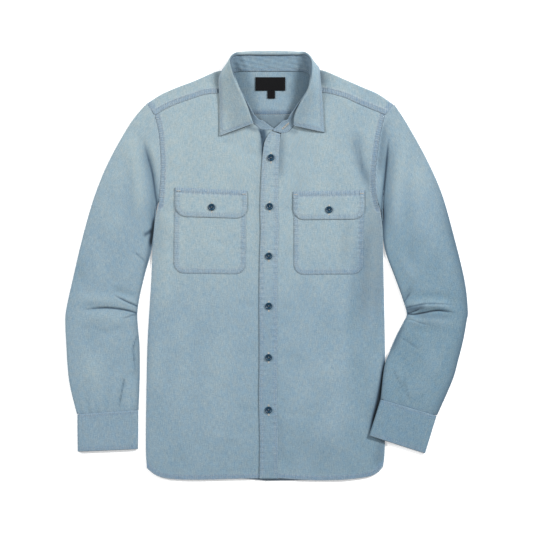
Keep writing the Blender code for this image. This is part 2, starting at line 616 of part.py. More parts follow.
def tube_rows(stations, spans, seam, thickness, loft, folds, lift):
    """Sections from a table of outer and inner edges; a seam line bows the first ones."""
    hand = 1.0 if stations[0][0][0] < stations[0][1][0] else -1.0
    inset = thickness / 2 + FOLD_RADIUS
    first = None
    rows = []
    for k in range(spans + 1):
        place = k / spans * (len(stations) - 1)
        outer, inner = smooth_at(stations, place)
        normals = fold_normals(stations, place, hand)
        start = (outer[0] - normals[0][0] * inset, outer[1] - normals[0][1] * inset)
        end = (inner[0] - normals[1][0] * inset, inner[1] - normals[1][1] * inset)
        first = first or (start, end)
        bowed = [first[0]] + seam[1:-1] + [first[1]] if seam else list(first)
        fade = (1.0 - k / spans) ** 5

        def line(share, start=start, end=end, fade=fade, bowed=bowed):
            spot = mix(start, end, share)
            bow = run_at(bowed, share)
            chord = mix(first[0], first[1], share)
            return (spot[0] + fade * (bow[0] - chord[0]), spot[1] + fade * (bow[1] - chord[1]))

        rows.append(tube_row(line, normals, thickness, loft, folds, lift))
    return rows


def add_sleeves():
    """Each sleeve is one flattened tube, and each cuff a closed band on its end."""
    for side, stations, cuff, armhole, tip, folds, lift in (
            ("right", SLEEVE_RIGHT, CUFF_RIGHT, ARMHOLE_RIGHT, SHOULDER_RIGHT[0],
             SLEEVE_FOLDS_RIGHT, on_table),
            ("left", SLEEVE_LEFT, CUFF_LEFT, ARMHOLE_LEFT, SHOULDER_LEFT[-1],
             SLEEVE_FOLDS_LEFT, over_body)):
        away = -ARMHOLE_GAP if side == "right" else ARMHOLE_GAP
        seam = moved([tip] + list(reversed(spread(armhole, ARMHOLE_SPANS))), away, 0.0)
        rows = tube_rows(stations, 23, seam, CLOTH, SLEEVE_LOFT, folds, lift)
        add_cloth("sleeve_" + side, rows, CLOTH, tube=True)
        rows = tube_rows(cuff, 4, [], CUFF_PLY, CUFF_LOFT, [], lift)
        add_cloth("cuff_" + side, rows, CUFF_PLY, tube=True)


def heading_of(degrees):
    turn = math.radians(degrees)
    return math.cos(turn), math.sin(turn)


def leaf_section(roll, radius, heading, landing, tuck):
    """The collar leaf across: round its roll, straight to its landing, then tucked."""
    out = heading_of(heading)
    level = roll[2] - radius
    ahead = (landing[0] - roll[0]) * out[0] + (landing[1] - roll[1]) * out[1]
    drop = max(landing[2], PLY / 2) - level
    leaving = math.degrees(math.atan2(drop, ahead) + math.acos(radius / math.hypot(ahead, drop)))
    points = []
    for k in range(6):
        turn = math.radians(mix(LEAF_START, leaving, k / 5))
        points.append((roll[0] + out[0] * radius * math.cos(turn),
                       roll[1] + out[1] * radius * math.cos(turn),
                       level + radius * math.sin(turn)))
    start = points[-1]
    end = (landing[0], landing[1], max(landing[2], PLY / 2))
    bulge = LEAF_BULGE * ramp(ahead, 0.0, 20.0)
    for k in range(1, 6):
        share = k / 5
        x, y, z = mix(start, end, share)
        points.append((x, y, z + bulge * math.sin(math.pi * share)))
    for k in range(1, 3):
        points.append((end[0] - out[0] * tuck * k / 2, end[1] - out[1] * tuck * k / 2, end[2]))
    return points


def collar_rows(spans):
    return [smooth_at([tuple(row) for row in COLLAR], k / spans * (len(COLLAR) - 1))
            for k in range(spans + 1)]


def add_collar_leaf():
    """The turned-down part of the collar, from point to point."""
    rows = []
    for roll, radius, heading, landing, tuck, foot, shows in collar_rows(32):
        rows.append(leaf_section(roll, radius, heading, landing, max(tuck, 0.6)))
    add_cloth("collar_leaf", rows, PLY)


def add_collar_stand():
    """The band that the leaf is sewn to, with its two ends lapped at the front."""
    pairs = list(STAND_END_RIGHT)
    for roll, radius, heading, landing, tuck, foot, shows in COLLAR:
        out = heading_of(heading)
        back = radius + shows
        level = roll[2] - radius - STAND_BELOW_ROLL - STAND_BELOW_OPEN * min(shows, 1)
        pairs.append((foot, (roll[0] - out[0] * back, roll[1] - out[1] * back, level)))
    pairs += STAND_END_LEFT
    rows = []
    for k in range(43):
        foot, top = smooth_at(pairs, k / 42 * (len(pairs) - 1))
        rows.append([mix(foot, top, j / 3) for j in range(4)])
    add_cloth("collar_stand", rows, PLY)


def add_label(name, edges, spans):
    """A woven label lying on the inside of the yoke."""
    left, right, bottom, top = edges
    above = CLOTH / 2 + SEAM_GAP + LABEL_PLY / 2
    rows = [[(mix(left, right, j / 2), mix(bottom, top, k / spans)) for j in range(3)]
            for k in range(spans + 1)]
    rows = raised(rows, lambda x, y: yoke_back_middle(x, y) + above)
    add_cloth(name, rows, LABEL_PLY, LABEL_TAPE)


def build_shirt():
    for old in list(bpy.data.objects):
        bpy.data.objects.remove(old, do_unlink=True)
    add_back_panel()
    add_yoke()
    add_front_right()
    add_front_left()
    add_placket()
    add_sleeves()
    add_collar_stand()
    add_collar_leaf()
    add_pocket("right", POCKET_RIGHT, FLAP_RIGHT, FLAP_BUTTON_RIGHT, front_middle)
    add_pocket("left", POCKET_LEFT, FLAP_LEFT, FLAP_BUTTON_LEFT, left_front_middle)
    add_front_buttons()
    add_label("neck_label", NECK_LABEL, 4)
    add_label("size_tab", SIZE_TAB, 2)


build_shirt()
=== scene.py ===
# %% [markdown]
# # A chambray work shirt, laid flat with its front up
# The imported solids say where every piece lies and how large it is. This lesson dresses
# them: each cloth solid gives way to a thin shell of the same form with its folds, felled
# seams, puckers and stitches, and each button gets its dish, its holes and its thread.
# Lengths are in millimetres, as on a cutting table, and turn into metres when a mesh is
# made. +Y runs from the hem to the collar, +X towards the wearer's left sleeve, and the
# shirt lies on the plane z = 0.

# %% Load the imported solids
import math

import bpy
import numpy as np
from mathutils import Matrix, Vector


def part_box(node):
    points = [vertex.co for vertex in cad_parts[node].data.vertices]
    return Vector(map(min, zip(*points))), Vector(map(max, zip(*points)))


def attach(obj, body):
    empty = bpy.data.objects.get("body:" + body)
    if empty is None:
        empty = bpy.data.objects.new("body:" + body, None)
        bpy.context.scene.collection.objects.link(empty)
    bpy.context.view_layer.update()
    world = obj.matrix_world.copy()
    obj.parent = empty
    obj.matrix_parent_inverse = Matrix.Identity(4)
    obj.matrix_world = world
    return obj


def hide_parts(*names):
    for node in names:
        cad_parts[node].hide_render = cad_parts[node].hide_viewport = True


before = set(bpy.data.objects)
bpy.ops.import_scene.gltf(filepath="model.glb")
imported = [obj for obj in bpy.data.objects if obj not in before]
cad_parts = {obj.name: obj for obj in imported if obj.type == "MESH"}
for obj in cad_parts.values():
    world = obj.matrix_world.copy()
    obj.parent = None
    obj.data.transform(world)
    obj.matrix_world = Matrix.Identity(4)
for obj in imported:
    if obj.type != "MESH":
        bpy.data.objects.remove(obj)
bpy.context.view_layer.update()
MM = 0.001

# %% [markdown]
# ## The pattern
# A shirt is cut from flat pieces, so the whole lesson starts from plan curves: the edges
# of the pieces as they lie on the table. They could be drawn with Bezier handles, but a
# curve through a few measured places is easier to check with a tape, so each edge is a
# short list of places, and a Catmull-Rom curve runs through them.

# %% Edges of the body, from the hem up
SIDE_RIGHT = [(-214.2, -363.6), (-216.0, -335.0), (-215.9, -277.2), (-213.3, -142.2),
              (-207.0, -36.0), (-203.4, 46.8), (-200.3, 79.2), (-192.8, 111.0)]
SIDE_LEFT = [(210.6, -361.2), (213.4, -334.8), (214.2, -277.2), (214.0, -151.2),
             (211.3, -7.2), (210.2, 46.8), (208.6, 79.2), (203.6, 106.0)]
ARMHOLE_RIGHT = [(-192.8, 111.0), (-190.8, 136.8), (-189.0, 169.2), (-189.5, 205.2),
                 (-193.0, 243.0), (-199.8, 271.8)]
ARMHOLE_LEFT = [(203.6, 106.0), (198.9, 122.4), (196.2, 147.6), (197.1, 176.4),
                (204.5, 234.0), (213.8, 272.7)]
HEM_RIGHT = [(-214.2, -363.6), (-201.6, -374.4), (-187.2, -380.4), (-165.0, -383.6),
             (-120.0, -384.6), (-46.8, -382.8), (19.0, -381.2)]
HEM_LEFT = [(21.0, -381.6), (80.0, -385.4), (118.0, -385.4), (150.0, -383.8),
            (183.6, -379.2), (200.4, -372.2), (210.6, -361.2)]
YOKE_SEAM_RIGHT = [(-199.8, 271.8), (-171.5, 287.0), (-137.9, 299.5), (-106.0, 309.0),
                   (-63.8, 312.0)]
YOKE_SEAM_LEFT = [(81.4, 312.3), (108.0, 311.5), (141.7, 303.0), (167.4, 291.5),
                  (213.8, 272.7)]
SHOULDER_RIGHT = [(-214.6, 292.3), (-187.2, 309.6), (-158.4, 322.2), (-129.6, 333.0),
                  (-100.8, 345.6), (-86.4, 350.6), (-66.0, 353.5)]
SHOULDER_LEFT = [(83.0, 353.8), (100.8, 352.2), (115.2, 347.4), (144.0, 334.8),
                 (172.8, 322.2), (201.6, 309.6), (230.0, 290.2)]
NECK_RIGHT = [(-63.8, 312.0), (-50.8, 283.6), (-38.2, 264.3), (-22.9, 254.6),
              (-10.7, 245.7), (4.0, 243.7), (19.6, 242.8)]
NECK_LEFT = [(27.2, 237.6), (33.0, 237.9), (41.0, 240.9), (50.4, 250.5), (58.5, 264.0),
             (71.5, 284.0), (81.4, 312.3)]
print("body", SIDE_LEFT[2][0] - SIDE_RIGHT[2][0], "mm wide near the hem")

# %% The placket and the sleeves
# The placket from the neck down: its free edge, then its seam.
PLACKET = [((8.8, 242.4), (26.0, 237.6)), ((-0.5, 227.9), (25.0, 225.0)),
           ((-4.5, 212.4), (23.6, 209.0)), ((-7.9, 172.8), (22.6, 172.0)),
           ((-10.4, 104.4), (22.0, 104.4)), ((-9.5, 64.8), (22.9, 64.8)),
           ((-11.3, 10.8), (21.1, 10.8)), ((-12.1, -64.8), (20.3, -64.8)),
           ((-11.7, -165.6), (20.7, -165.6)), ((-12.6, -235.8), (19.8, -235.8)),
           ((-11.0, -313.2), (21.4, -313.2)), ((-11.9, -382.4), (20.5, -382.6))]
# Sleeves from the armhole to the cuff: outer edge, then inner edge.
SLEEVE_RIGHT = [((-215.2, 291.8), (-197.0, 108.0)), ((-243.0, 258.3), (-197.6, 95.4)),
                ((-280.2, 193.5), (-200.6, 61.2)), ((-307.2, 129.6), (-206.0, 27.0)),
                ((-329.4, 54.0), (-217.6, -14.4)), ((-349.0, -28.8), (-227.0, -54.0)),
                ((-360.1, -81.0), (-231.2, -84.6)), ((-361.2, -108.0), (-230.4, -108.0)),
                ((-359.6, -140.4), (-227.5, -140.4)), ((-357.3, -180.0), (-226.8, -180.0)),
                ((-352.8, -216.0), (-227.4, -212.4)), ((-340.4, -266.4), (-229.2, -259.2))]
SLEEVE_LEFT = [((231.2, 290.2), (208.0, 102.6)), ((253.0, 257.2), (208.4, 88.2)),
               ((288.2, 193.9), (209.8, 54.0)), ((316.4, 130.2), (216.0, 21.6)),
               ((338.0, 54.6), (231.6, -19.8)), ((357.2, -24.8), (245.8, -59.4)),
               ((363.4, -79.2), (253.1, -86.4)), ((360.9, -100.8), (247.3, -100.8)),
               ((355.1, -133.2), (234.2, -126.0)), ((346.0, -169.4), (222.0, -154.8)),
               ((335.6, -205.8), (212.6, -181.8)), ((308.0, -268.8), (206.2, -239.0))]
CUFF_RIGHT = [((-339.6, -266.9), (-229.6, -259.7)), ((-339.4, -301.0), (-229.7, -295.0)),
              ((-338.9, -333.9), (-230.2, -329.4))]
CUFF_LEFT = [((307.2, -269.8), (205.8, -240.0)), ((296.6, -303.6), (195.6, -272.6)),
             ((286.4, -337.2), (185.4, -304.9))]
print("cuffs", round(math.dist(*CUFF_RIGHT[0])), "and", round(math.dist(*CUFF_LEFT[0])), "mm wide")

# %% [markdown]
# ## Curves and patches
# Numpy works on whole grids of points at once, so a panel with thousands of points takes
# no loop. `smooth` runs the curve through a table's rows, `evenly` spaces points along
# it, and `patch` spreads a grid between four edges, which is how cloth lies between its
# seams. `near` measures how far points lie from a line, and every seam, fold and stitch
# below starts from that distance.


# %% Curves through places
def smooth(table, places):
    """A Catmull-Rom curve through the rows of a table, read at places counted in rows."""
    rows = np.asarray(table, float)
    last = len(rows) - 1
    places = np.clip(np.asarray(places, float), 0, last)
    first = np.minimum(places.astype(int), last - 1)
    t = (places - first)[:, None]
    a, b = rows[np.maximum(first - 1, 0)], rows[first]
    c, d = rows[first + 1], rows[np.minimum(first + 2, last)]
    return 0.5 * (2 * b + (c - a) * t + (2 * a - 5 * b + 4 * c - d) * t ** 2
                  + (3 * b - a - 3 * c + d) * t ** 3)


def reach_of(points):
    """How far along a line each of its points lies."""
    steps = np.linalg.norm(np.diff(points, axis=0), axis=1)
    return np.concatenate([[0.0], np.cumsum(steps)])


def evenly(points, count):
    """That many points, evenly spaced along the smooth curve through the given ones."""
    fine = smooth(points, np.linspace(0, len(points) - 1, (len(points) - 1) * 16 + 1))
    return along_line(fine, np.linspace(0, 1, count))


def along_line(points, shares):
    """Points at shares of the length of a line."""
    points = np.asarray(points, float)
    reach = reach_of(points)
    want = np.asarray(shares) * reach[-1]
    return np.column_stack([np.interp(want, reach, column) for column in points.T])


print("armhole", round(reach_of(evenly(ARMHOLE_RIGHT, 40))[-1]), "mm as it lies")


# %% Grids between four edges
def patch(bottom, top, left, right):
    """A grid of points between four edges: rows run from bottom to top."""
    u = np.linspace(0, 1, len(bottom))[None, :, None]
    v = np.linspace(0, 1, len(left))[:, None, None]
    across = left[:, None] * (1 - u) + right[:, None] * u
    upward = bottom[None] * (1 - v) + top[None] * v
    corners = (bottom[0] * (1 - u) + bottom[-1] * u) * (1 - v)
    corners = corners + (top[0] * (1 - u) + top[-1] * u) * v
    return across + upward - corners


def near(plan, line):
    """Distance of plan points from a line, how far along it that is, and on which side."""
    line = np.asarray(line, float)
    flat = plan.reshape(-1, 2)
    best = np.full(len(flat), 1e9)
    along = np.zeros(len(flat))
    side = np.ones(len(flat))
    passed = 0.0
    for start, end in zip(line, line[1:]):
        run = end - start
        length = math.hypot(*run)
        share = np.clip((flat - start) @ run / length ** 2, 0, 1)
        off = flat - start - share[:, None] * run
        away = np.hypot(off[:, 0], off[:, 1])
        closer = away < best
        best[closer] = away[closer]
        along[closer] = passed + share[closer] * length
        side[closer] = np.sign(run[0] * off[closer, 1] - run[1] * off[closer, 0])
        passed += length
    shape = plan.shape[:-1]
    return best.reshape(shape), along.reshape(shape), side.reshape(shape)


def ease(value, low, high):
    """0 below low, 1 above high and smooth between; with low over high it falls instead."""
    share = np.clip((value - low) / (high - low), 0, 1)
    return share * share * (3 - 2 * share)


print("ease halfway:", float(ease(0.5, 0, 1)))

# %% [markdown]
# ## How cloth creases
# Washed cotton that lies on a table is never flat. It has long soft folds where the shirt
# was smoothed by hand, sharper creases at the elbows and the armpits, and short puckers
# along each seam, because the thread has shrunk more than the cloth. A cloth simulation
# would give folds of its own choosing. Here the folds have to be where this shirt has
# them, so each is a line with a height and a width on either side, and the puckers are
# uneven waves that die out a few millimetres from the stitches.


# %% Folds, waves and puckers
def folds(plan, table):
    """The relief of a table of folds: line, height, width on its left, width on its right."""
    relief = np.zeros(plan.shape[:-1])
    for line, height, left, right in table:
        path = evenly(line, 5 * len(line))
        away, along, side = near(plan, path)
        share = along / reach_of(path)[-1]
        taper = ease(share, -0.05, 0.3) * ease(1 - share, -0.05, 0.3)
        width = np.where(side > 0, left, right)
        relief += height * taper * np.exp(-0.5 * (away / width) ** 2)
    return relief


def creases(plan, table):
    """Sharp creases: line, depth of the groove, height of the lip on its left, lip's reach."""
    relief = np.zeros(plan.shape[:-1])
    for line, depth, lip, reach in table:
        path = evenly(line, 6 * len(line))
        away, along, side = near(plan, path)
        share = along / reach_of(path)[-1]
        taper = ease(share, -0.02, 0.4) * ease(1 - share, -0.3, 0.1)
        lifted = lip * np.exp(-away / reach) * np.where(side > 0, 1.0, 0.0)
        relief += taper * (lifted - depth * np.exp(-(away / 1.9) ** 2))
    return relief


def waves(plan, height, seed):
    """Slight unevenness: a dozen crossing waves, 25 to 90 mm long, mostly up and down."""
    draw = np.random.default_rng(seed)
    relief = np.zeros(plan.shape[:-1])
    for _ in range(12):
        length = draw.uniform(25, 90)
        heading = draw.normal(0, 0.6)
        phase = draw.uniform(0, 2 * math.pi)
        sweep = plan[..., 0] * math.cos(heading) + plan[..., 1] * math.sin(heading)
        relief += np.sin(2 * math.pi * sweep / length + phase) * length / 90
    return relief * height / 3


def puckers(away, along, height, width, pitch, phase):
    """Short ridges across a stitched line, uneven, gone a little way from it."""
    beat = np.sin(2 * math.pi * along / pitch + 1.7 * np.sin(along / 41 + phase) + phase)
    swell = 0.6 + 0.4 * np.sin(along / 23 + 2 * phase)
    return height * beat * swell * np.exp(-(away / width) ** 2)


def felled(away, width, height):
    """The doubled cloth of a felled seam: a low step, width mm wide."""
    return height * ease(away, width + 1.2, width - 1.2)


# %% The folds of the body
# The first seven are the solids' own large folds, and the rest are too fine for them.
BODY_FOLDS = [
    ([(196, 205), (199, 120), (196, 20), (186, -110)], 1.3, 15.0, 15.0),
    ([(61, 236), (49, 190), (38, 150)], -0.9, 11.0, 11.0),
    ([(-64, 225), (-52, 170), (-40, 150)], 0.8, 14.0, 14.0),
    ([(-192, -120), (-198, -175), (-199, -240)], 1.2, 11.0, 11.0),
    ([(33, -280), (41, -340), (36, -372)], -0.8, 9.0, 9.0),
    ([(-100, -120), (-92, -230), (-104, -330)], 0.9, 22.0, 22.0),
    ([(112, -110), (104, -220), (118, -340)], 0.9, 24.0, 24.0),
    ([(163, 240), (169, 215), (171, 190), (174, 165), (184, 138)], -1.7, 7.0, 6.0),
    ([(188, 165), (181, 110), (176, 50), (173, 5), (162, -50), (149, -118), (155, -200)],
     -1.3, 8.0, 9.0),
    ([(146, 150), (152, 90), (148, 10), (138, -60), (126, -120)], 0.7, 9.0, 9.0),
    ([(196, 60), (192, 0), (188, -70), (186, -150)], 0.9, 5.0, 7.0),
    ([(60, 168), (52, 120), (44, 84)], -0.6, 6.0, 5.0),
    ([(150, -50), (140, -150), (147, -250)], 0.6, 14.0, 8.0),
    ([(-184, 70), (-178, -20), (-186, -110)], 0.7, 6.0, 12.0),
    ([(-152, -80), (-145, -180), (-153, -290)], 0.6, 9.0, 14.0),
    ([(62, -50), (68, -160), (58, -270)], 0.5, 16.0, 9.0),
    ([(-58, -40), (-66, -150), (-56, -260)], 0.5, 11.0, 15.0),
    ([(-190, 98), (-168, 72), (-150, 34)], 0.7, 4.5, 9.0),
    ([(-194, 76), (-176, 48), (-166, 8)], -0.5, 4.0, 5.0),
    ([(201, 92), (182, 70), (168, 30)], 0.7, 9.0, 4.5),
    ([(-86, 226), (-80, 196), (-72, 160)], 0.5, 7.0, 9.0),
    ([(106, 228), (99, 198), (92, 160)], 0.5, 9.0, 7.0),
    ([(-180, 250), (-168, 215), (-172, 170)], 0.5, 8.0, 6.0),
    ([(188, 250), (178, 214), (182, 178)], 0.5, 6.0, 8.0),
    ([(-30, 236), (-34, 214), (-28, 190)], -0.5, 5.0, 7.0),
    ([(-120, -300), (-40, -312), (-16, -306)], 0.35, 9.0, 6.0),
    ([(30, -190), (80, -200), (140, -188)], 0.3, 9.0, 6.0),
]
BODY_CREASES = [
    ([(-7, 190), (-6.3, 205), (-6.3, 220), (-9, 237), (-13, 245)], 1.6, 0.6, 5.0),
    ([(166, 232), (171, 200), (174, 170)], 0.5, 0.3, 6.0),
]
# Painted shade, where creases, folds and the parts over the cloth shade it: line, share, width on each
# side.
BODY_SHADE = [
    ([(192, 200), (201, 130), (203, 60), (201, -30), (196, -130)], 0.44, 10.0, 16.0),
    ([(158, 248), (162, 215), (168, 190), (178, 164), (192, 134)], 0.42, 5.0, 6.0),
    ([(208, -290), (206, -330), (198, -366)], 0.40, 7.0, 7.0),
    ([(150, 92), (144, 50), (140, 0)], 0.20, 7.0, 7.0),
    ([(163, 96), (160, 40), (158, -20), (150, -110)], 0.12, 7.0, 7.0),
    ([(22, -262), (27, -310), (30, -356)], 0.22, 5.0, 9.0),
    ([(-197, 108), (-193, 60), (-191, 10)], 0.18, 9.0, 9.0),
    ([(-9, 214), (-13, 150), (-13, 60), (-14, -20)], 0.12, 6.0, 6.0),
    ([(30, 252), (28, 232), (27, 212), (25, 150)], 0.50, 5.0, 6.0),
    ([(-8, 262), (-5, 244), (-3, 224), (-4, 190)], 1.20, 4.5, 5.0),
    ([(-38, 252), (-25, 247), (-12, 245)], 0.6, 3.0, 3.0),
    ([(36, 245), (46, 243), (60, 240)], 0.5, 3.0, 3.0),
    ([(184, 96), (180, 40), (177, -40), (170, -110)], 0.24, 8.0, 8.0),
    ([(50, -300), (90, -330), (160, -345)], 0.10, 22.0, 22.0),
    ([(216, -150), (210.5, -190), (202.5, -240), (184, -312)], 2.2, 2.6, 2.6),
    ([(210, -200), (197, -250), (184, -300)], 0.3, 6.0, 6.0),
    ([(-216, -220), (-213, -60), (-206, 20)], 0.30, 3.5, 3.5),
    ([(204, 250), (199, 200), (198, 150)], 0.12, 8.0, 8.0),
]
FRONT_BUTTONS = [f"button_front_{number}" for number in range(1, 7)]


def middle_of(node):
    """Where a small solid stands on the plan, and the height of its underside, in mm."""
    low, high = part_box(node)
    return (low[0] + high[0]) / 2 / MM, (low[1] + high[1]) / 2 / MM, low[2] / MM


# Each button pulls a faint crease out of the cloth on both of its sides.
for number, name in enumerate(FRONT_BUTTONS):
    x, y, _ = middle_of(name)
    tilt = (-1) ** number * 4
    BODY_FOLDS.append(([(x - 18, y), (x - 38, y + 3 + tilt), (x - 62, y + 9)], -0.35, 3.5, 6.0))
    BODY_FOLDS.append(([(x + 18, y), (x + 40, y - 3 + tilt), (x + 66, y - 8)], -0.35, 6.0, 3.5))
print(len(BODY_FOLDS), "folds on the body")

# %% [markdown]
# ## How the layers lie
# The back lies on the table, the fronts lie on the back, and they rise a little from
# their side folds towards the middle. The pockets, the flaps and the placket lie on the
# fronts, so each of their heights is the front's height and a little more. That keeps a
# fold running on through every layer that lies on it, as it does in cloth.

# %% Heights of the layers
CLOTH = 1.2            # a layer as the solids have it
SHELL = 1.0            # and as it shows here, so that the layers keep clear of each other
FRONT_REST = CLOTH + 0.3 + CLOTH / 2
FRONT_LOFT = 2.4
FOLD_STRENGTH = 1.3    # how much deeper the fronts' folds are here than in the solids
SIDE_ROLL = 12.0
ARMPIT_Y = 106.0
HEM_Y = -386.0
MIDDLE_X = 8.0
HEM_WIDTH = 8.0
FELL_WIDTH = 8.5


def x_on(edge, y):
    """The x of an edge that runs upwards, at heights y on the plan."""
    places = np.asarray(edge, float)
    return np.interp(y, places[:, 1], places[:, 0])


def front_relief(plan):
    """The folds and the slight unevenness of the fronts."""
    slight = waves(plan, 0.4, 5) * (0.6 + 0.6 * ease(plan[..., 0], -60, 150))
    return FOLD_STRENGTH * folds(plan, BODY_FOLDS) + slight


def front_level(plan):
    """Height of the middle of the fronts' cloth, with its folds."""
    x, y = plan[..., 0], plan[..., 1]
    side = np.minimum(x - x_on(SIDE_RIGHT, y), x_on(SIDE_LEFT, y) - x)
    side = np.maximum(side, 0) + np.maximum(y - ARMPIT_Y, 0)
    lift = 1 - np.exp(-side / SIDE_ROLL)
    hem = 0.5 + 0.5 * ease(y, HEM_Y, HEM_Y + 60)
    return FRONT_REST + FRONT_LOFT * lift * hem + front_relief(plan) * lift


def left_front_level(plan):
    """The left front climbs a little towards its seam with the placket."""
    seam = x_on([pair[1] for pair in reversed(PLACKET)], plan[..., 1])
    past = np.maximum(plan[..., 0] - seam, 0)
    return front_level(plan) + 1.9 * np.exp(-past / 18)


middle_of_chest = np.array([[-60.0, 180.0], [60.0, 180.0]])
print("fronts lie", front_level(middle_of_chest).round(2), "mm up beside the placket")

# %% [markdown]
# ## Chambray
# Chambray is a plain weave of coloured warp and white weft, so from a step away it is a
# heathered blue: thousands of pale and dark flecks, with longer slubs where the yarn is
# thick. Washing fades it most where it rubs, over the shoulders and the chest and on
# every edge that is two or three layers thick. A single colour would look like plastic.
# Each point of the cloth therefore carries four numbers from the pattern: how deep its
# colour still is, with painted shade in the hollows of folds and painted light on their
# ridges, whether it is doubled at a seam, how far it is worn, or, below zero, how much
# painted shade it gets in creases, along folds and beside the parts over it, and how far
# along a seam it lies. The shader turns them into colour, adds the flecks and slubs along
# the thread, and raises the weave and the slight crumple of cotton as bump.

# %% Colours as they were measured on cloth like this
CHEST = (172, 192, 198)        # faded, over the shoulders and the chest
WAIST = (150, 175, 189)
LOW = (127, 157, 173)          # deepest, at the hem and the lower sleeves
SEAM = (126, 150, 177)         # doubled cloth keeps more of its violet-blue
WORN = (205, 217, 221)         # the worn edges of a seam
CREASE_SHADE = (78, 102, 122)          # painted shade, deep in a crease or beside a part that lies over the cloth
TUCKED = (22, 36, 46)          # right down where two layers meet, and light hardly gets
LIGHT_SHARE = 0.62             # how much of a colour is the cloth's own in this light


def linear(colour):
    """The colour that a shader wants for one given as 0 to 255."""
    share = np.array(colour) / 255
    light = np.where(share <= 0.04045, share / 12.92, ((share + 0.055) / 1.055) ** 2.4)
    return (*[float(value) * LIGHT_SHARE for value in light], 1.0)


print("chest, as light:", [round(value, 3) for value in linear(CHEST)])


# %% A short way to wire shaders
class Wiring:
    """Adds nodes to one material: the keywords are input values or links."""

    def __init__(self, name):
        self.material = bpy.data.materials.new(name)
        self.material.use_nodes = True
        self.tree = self.material.node_tree
        self.shader = self.tree.nodes["Principled BSDF"]

    def put(self, socket, value):
        if isinstance(value, bpy.types.NodeSocket):
            self.tree.links.new(value, socket)
        else:
            socket.default_value = value

    def node(self, kind, inputs=(), **settings):
        made = self.tree.nodes.new(kind)
        for key, value in settings.items():
            setattr(made, key, value)
        for key, value in dict(inputs).items():
            self.put(made.inputs[key], value)
        return made

    def math(self, operation, *values, clamp=False):
        made = self.tree.nodes.new("ShaderNodeMath")
        made.operation = operation
        made.use_clamp = clamp
        for place, value in enumerate(values):
            self.put(made.inputs[place], value)
        return made.outputs[0]

    def mix(self, share, low, high, blend="MIX"):
        made = self.tree.nodes.new("ShaderNodeMix")
        made.data_type = "RGBA"
        made.blend_type = blend
        for key, value in ((0, share), (6, low), (7, high)):
            self.put(made.inputs[key], value)
        return made.outputs[2]

    def noise(self, where, stretch, detail=2.0, rough=0.5):
        """Noise on points in millimetres, stretched to that many millimetres a fleck."""
        mapped = self.node("ShaderNodeMapping", {"Vector": where})
        mapped.inputs["Scale"].default_value = [1.0 / span for span in stretch]
        made = self.node("ShaderNodeTexNoise", {"Vector": mapped.outputs[0], "Scale": 1.0,
                                                "Detail": detail, "Roughness": rough})
        return made.outputs["Fac"]


def spread_out(wires, value, low, high):
    """A value's middle range, stretched over 0 to 1."""
    made = wires.node("ShaderNodeMapRange", {"Value": value, "From Min": low, "From Max": high})
    return made.outputs[0]


# %% The chambray's shader
RIB_PITCH = 4.1         # mm from one fine pucker of a seam to the next


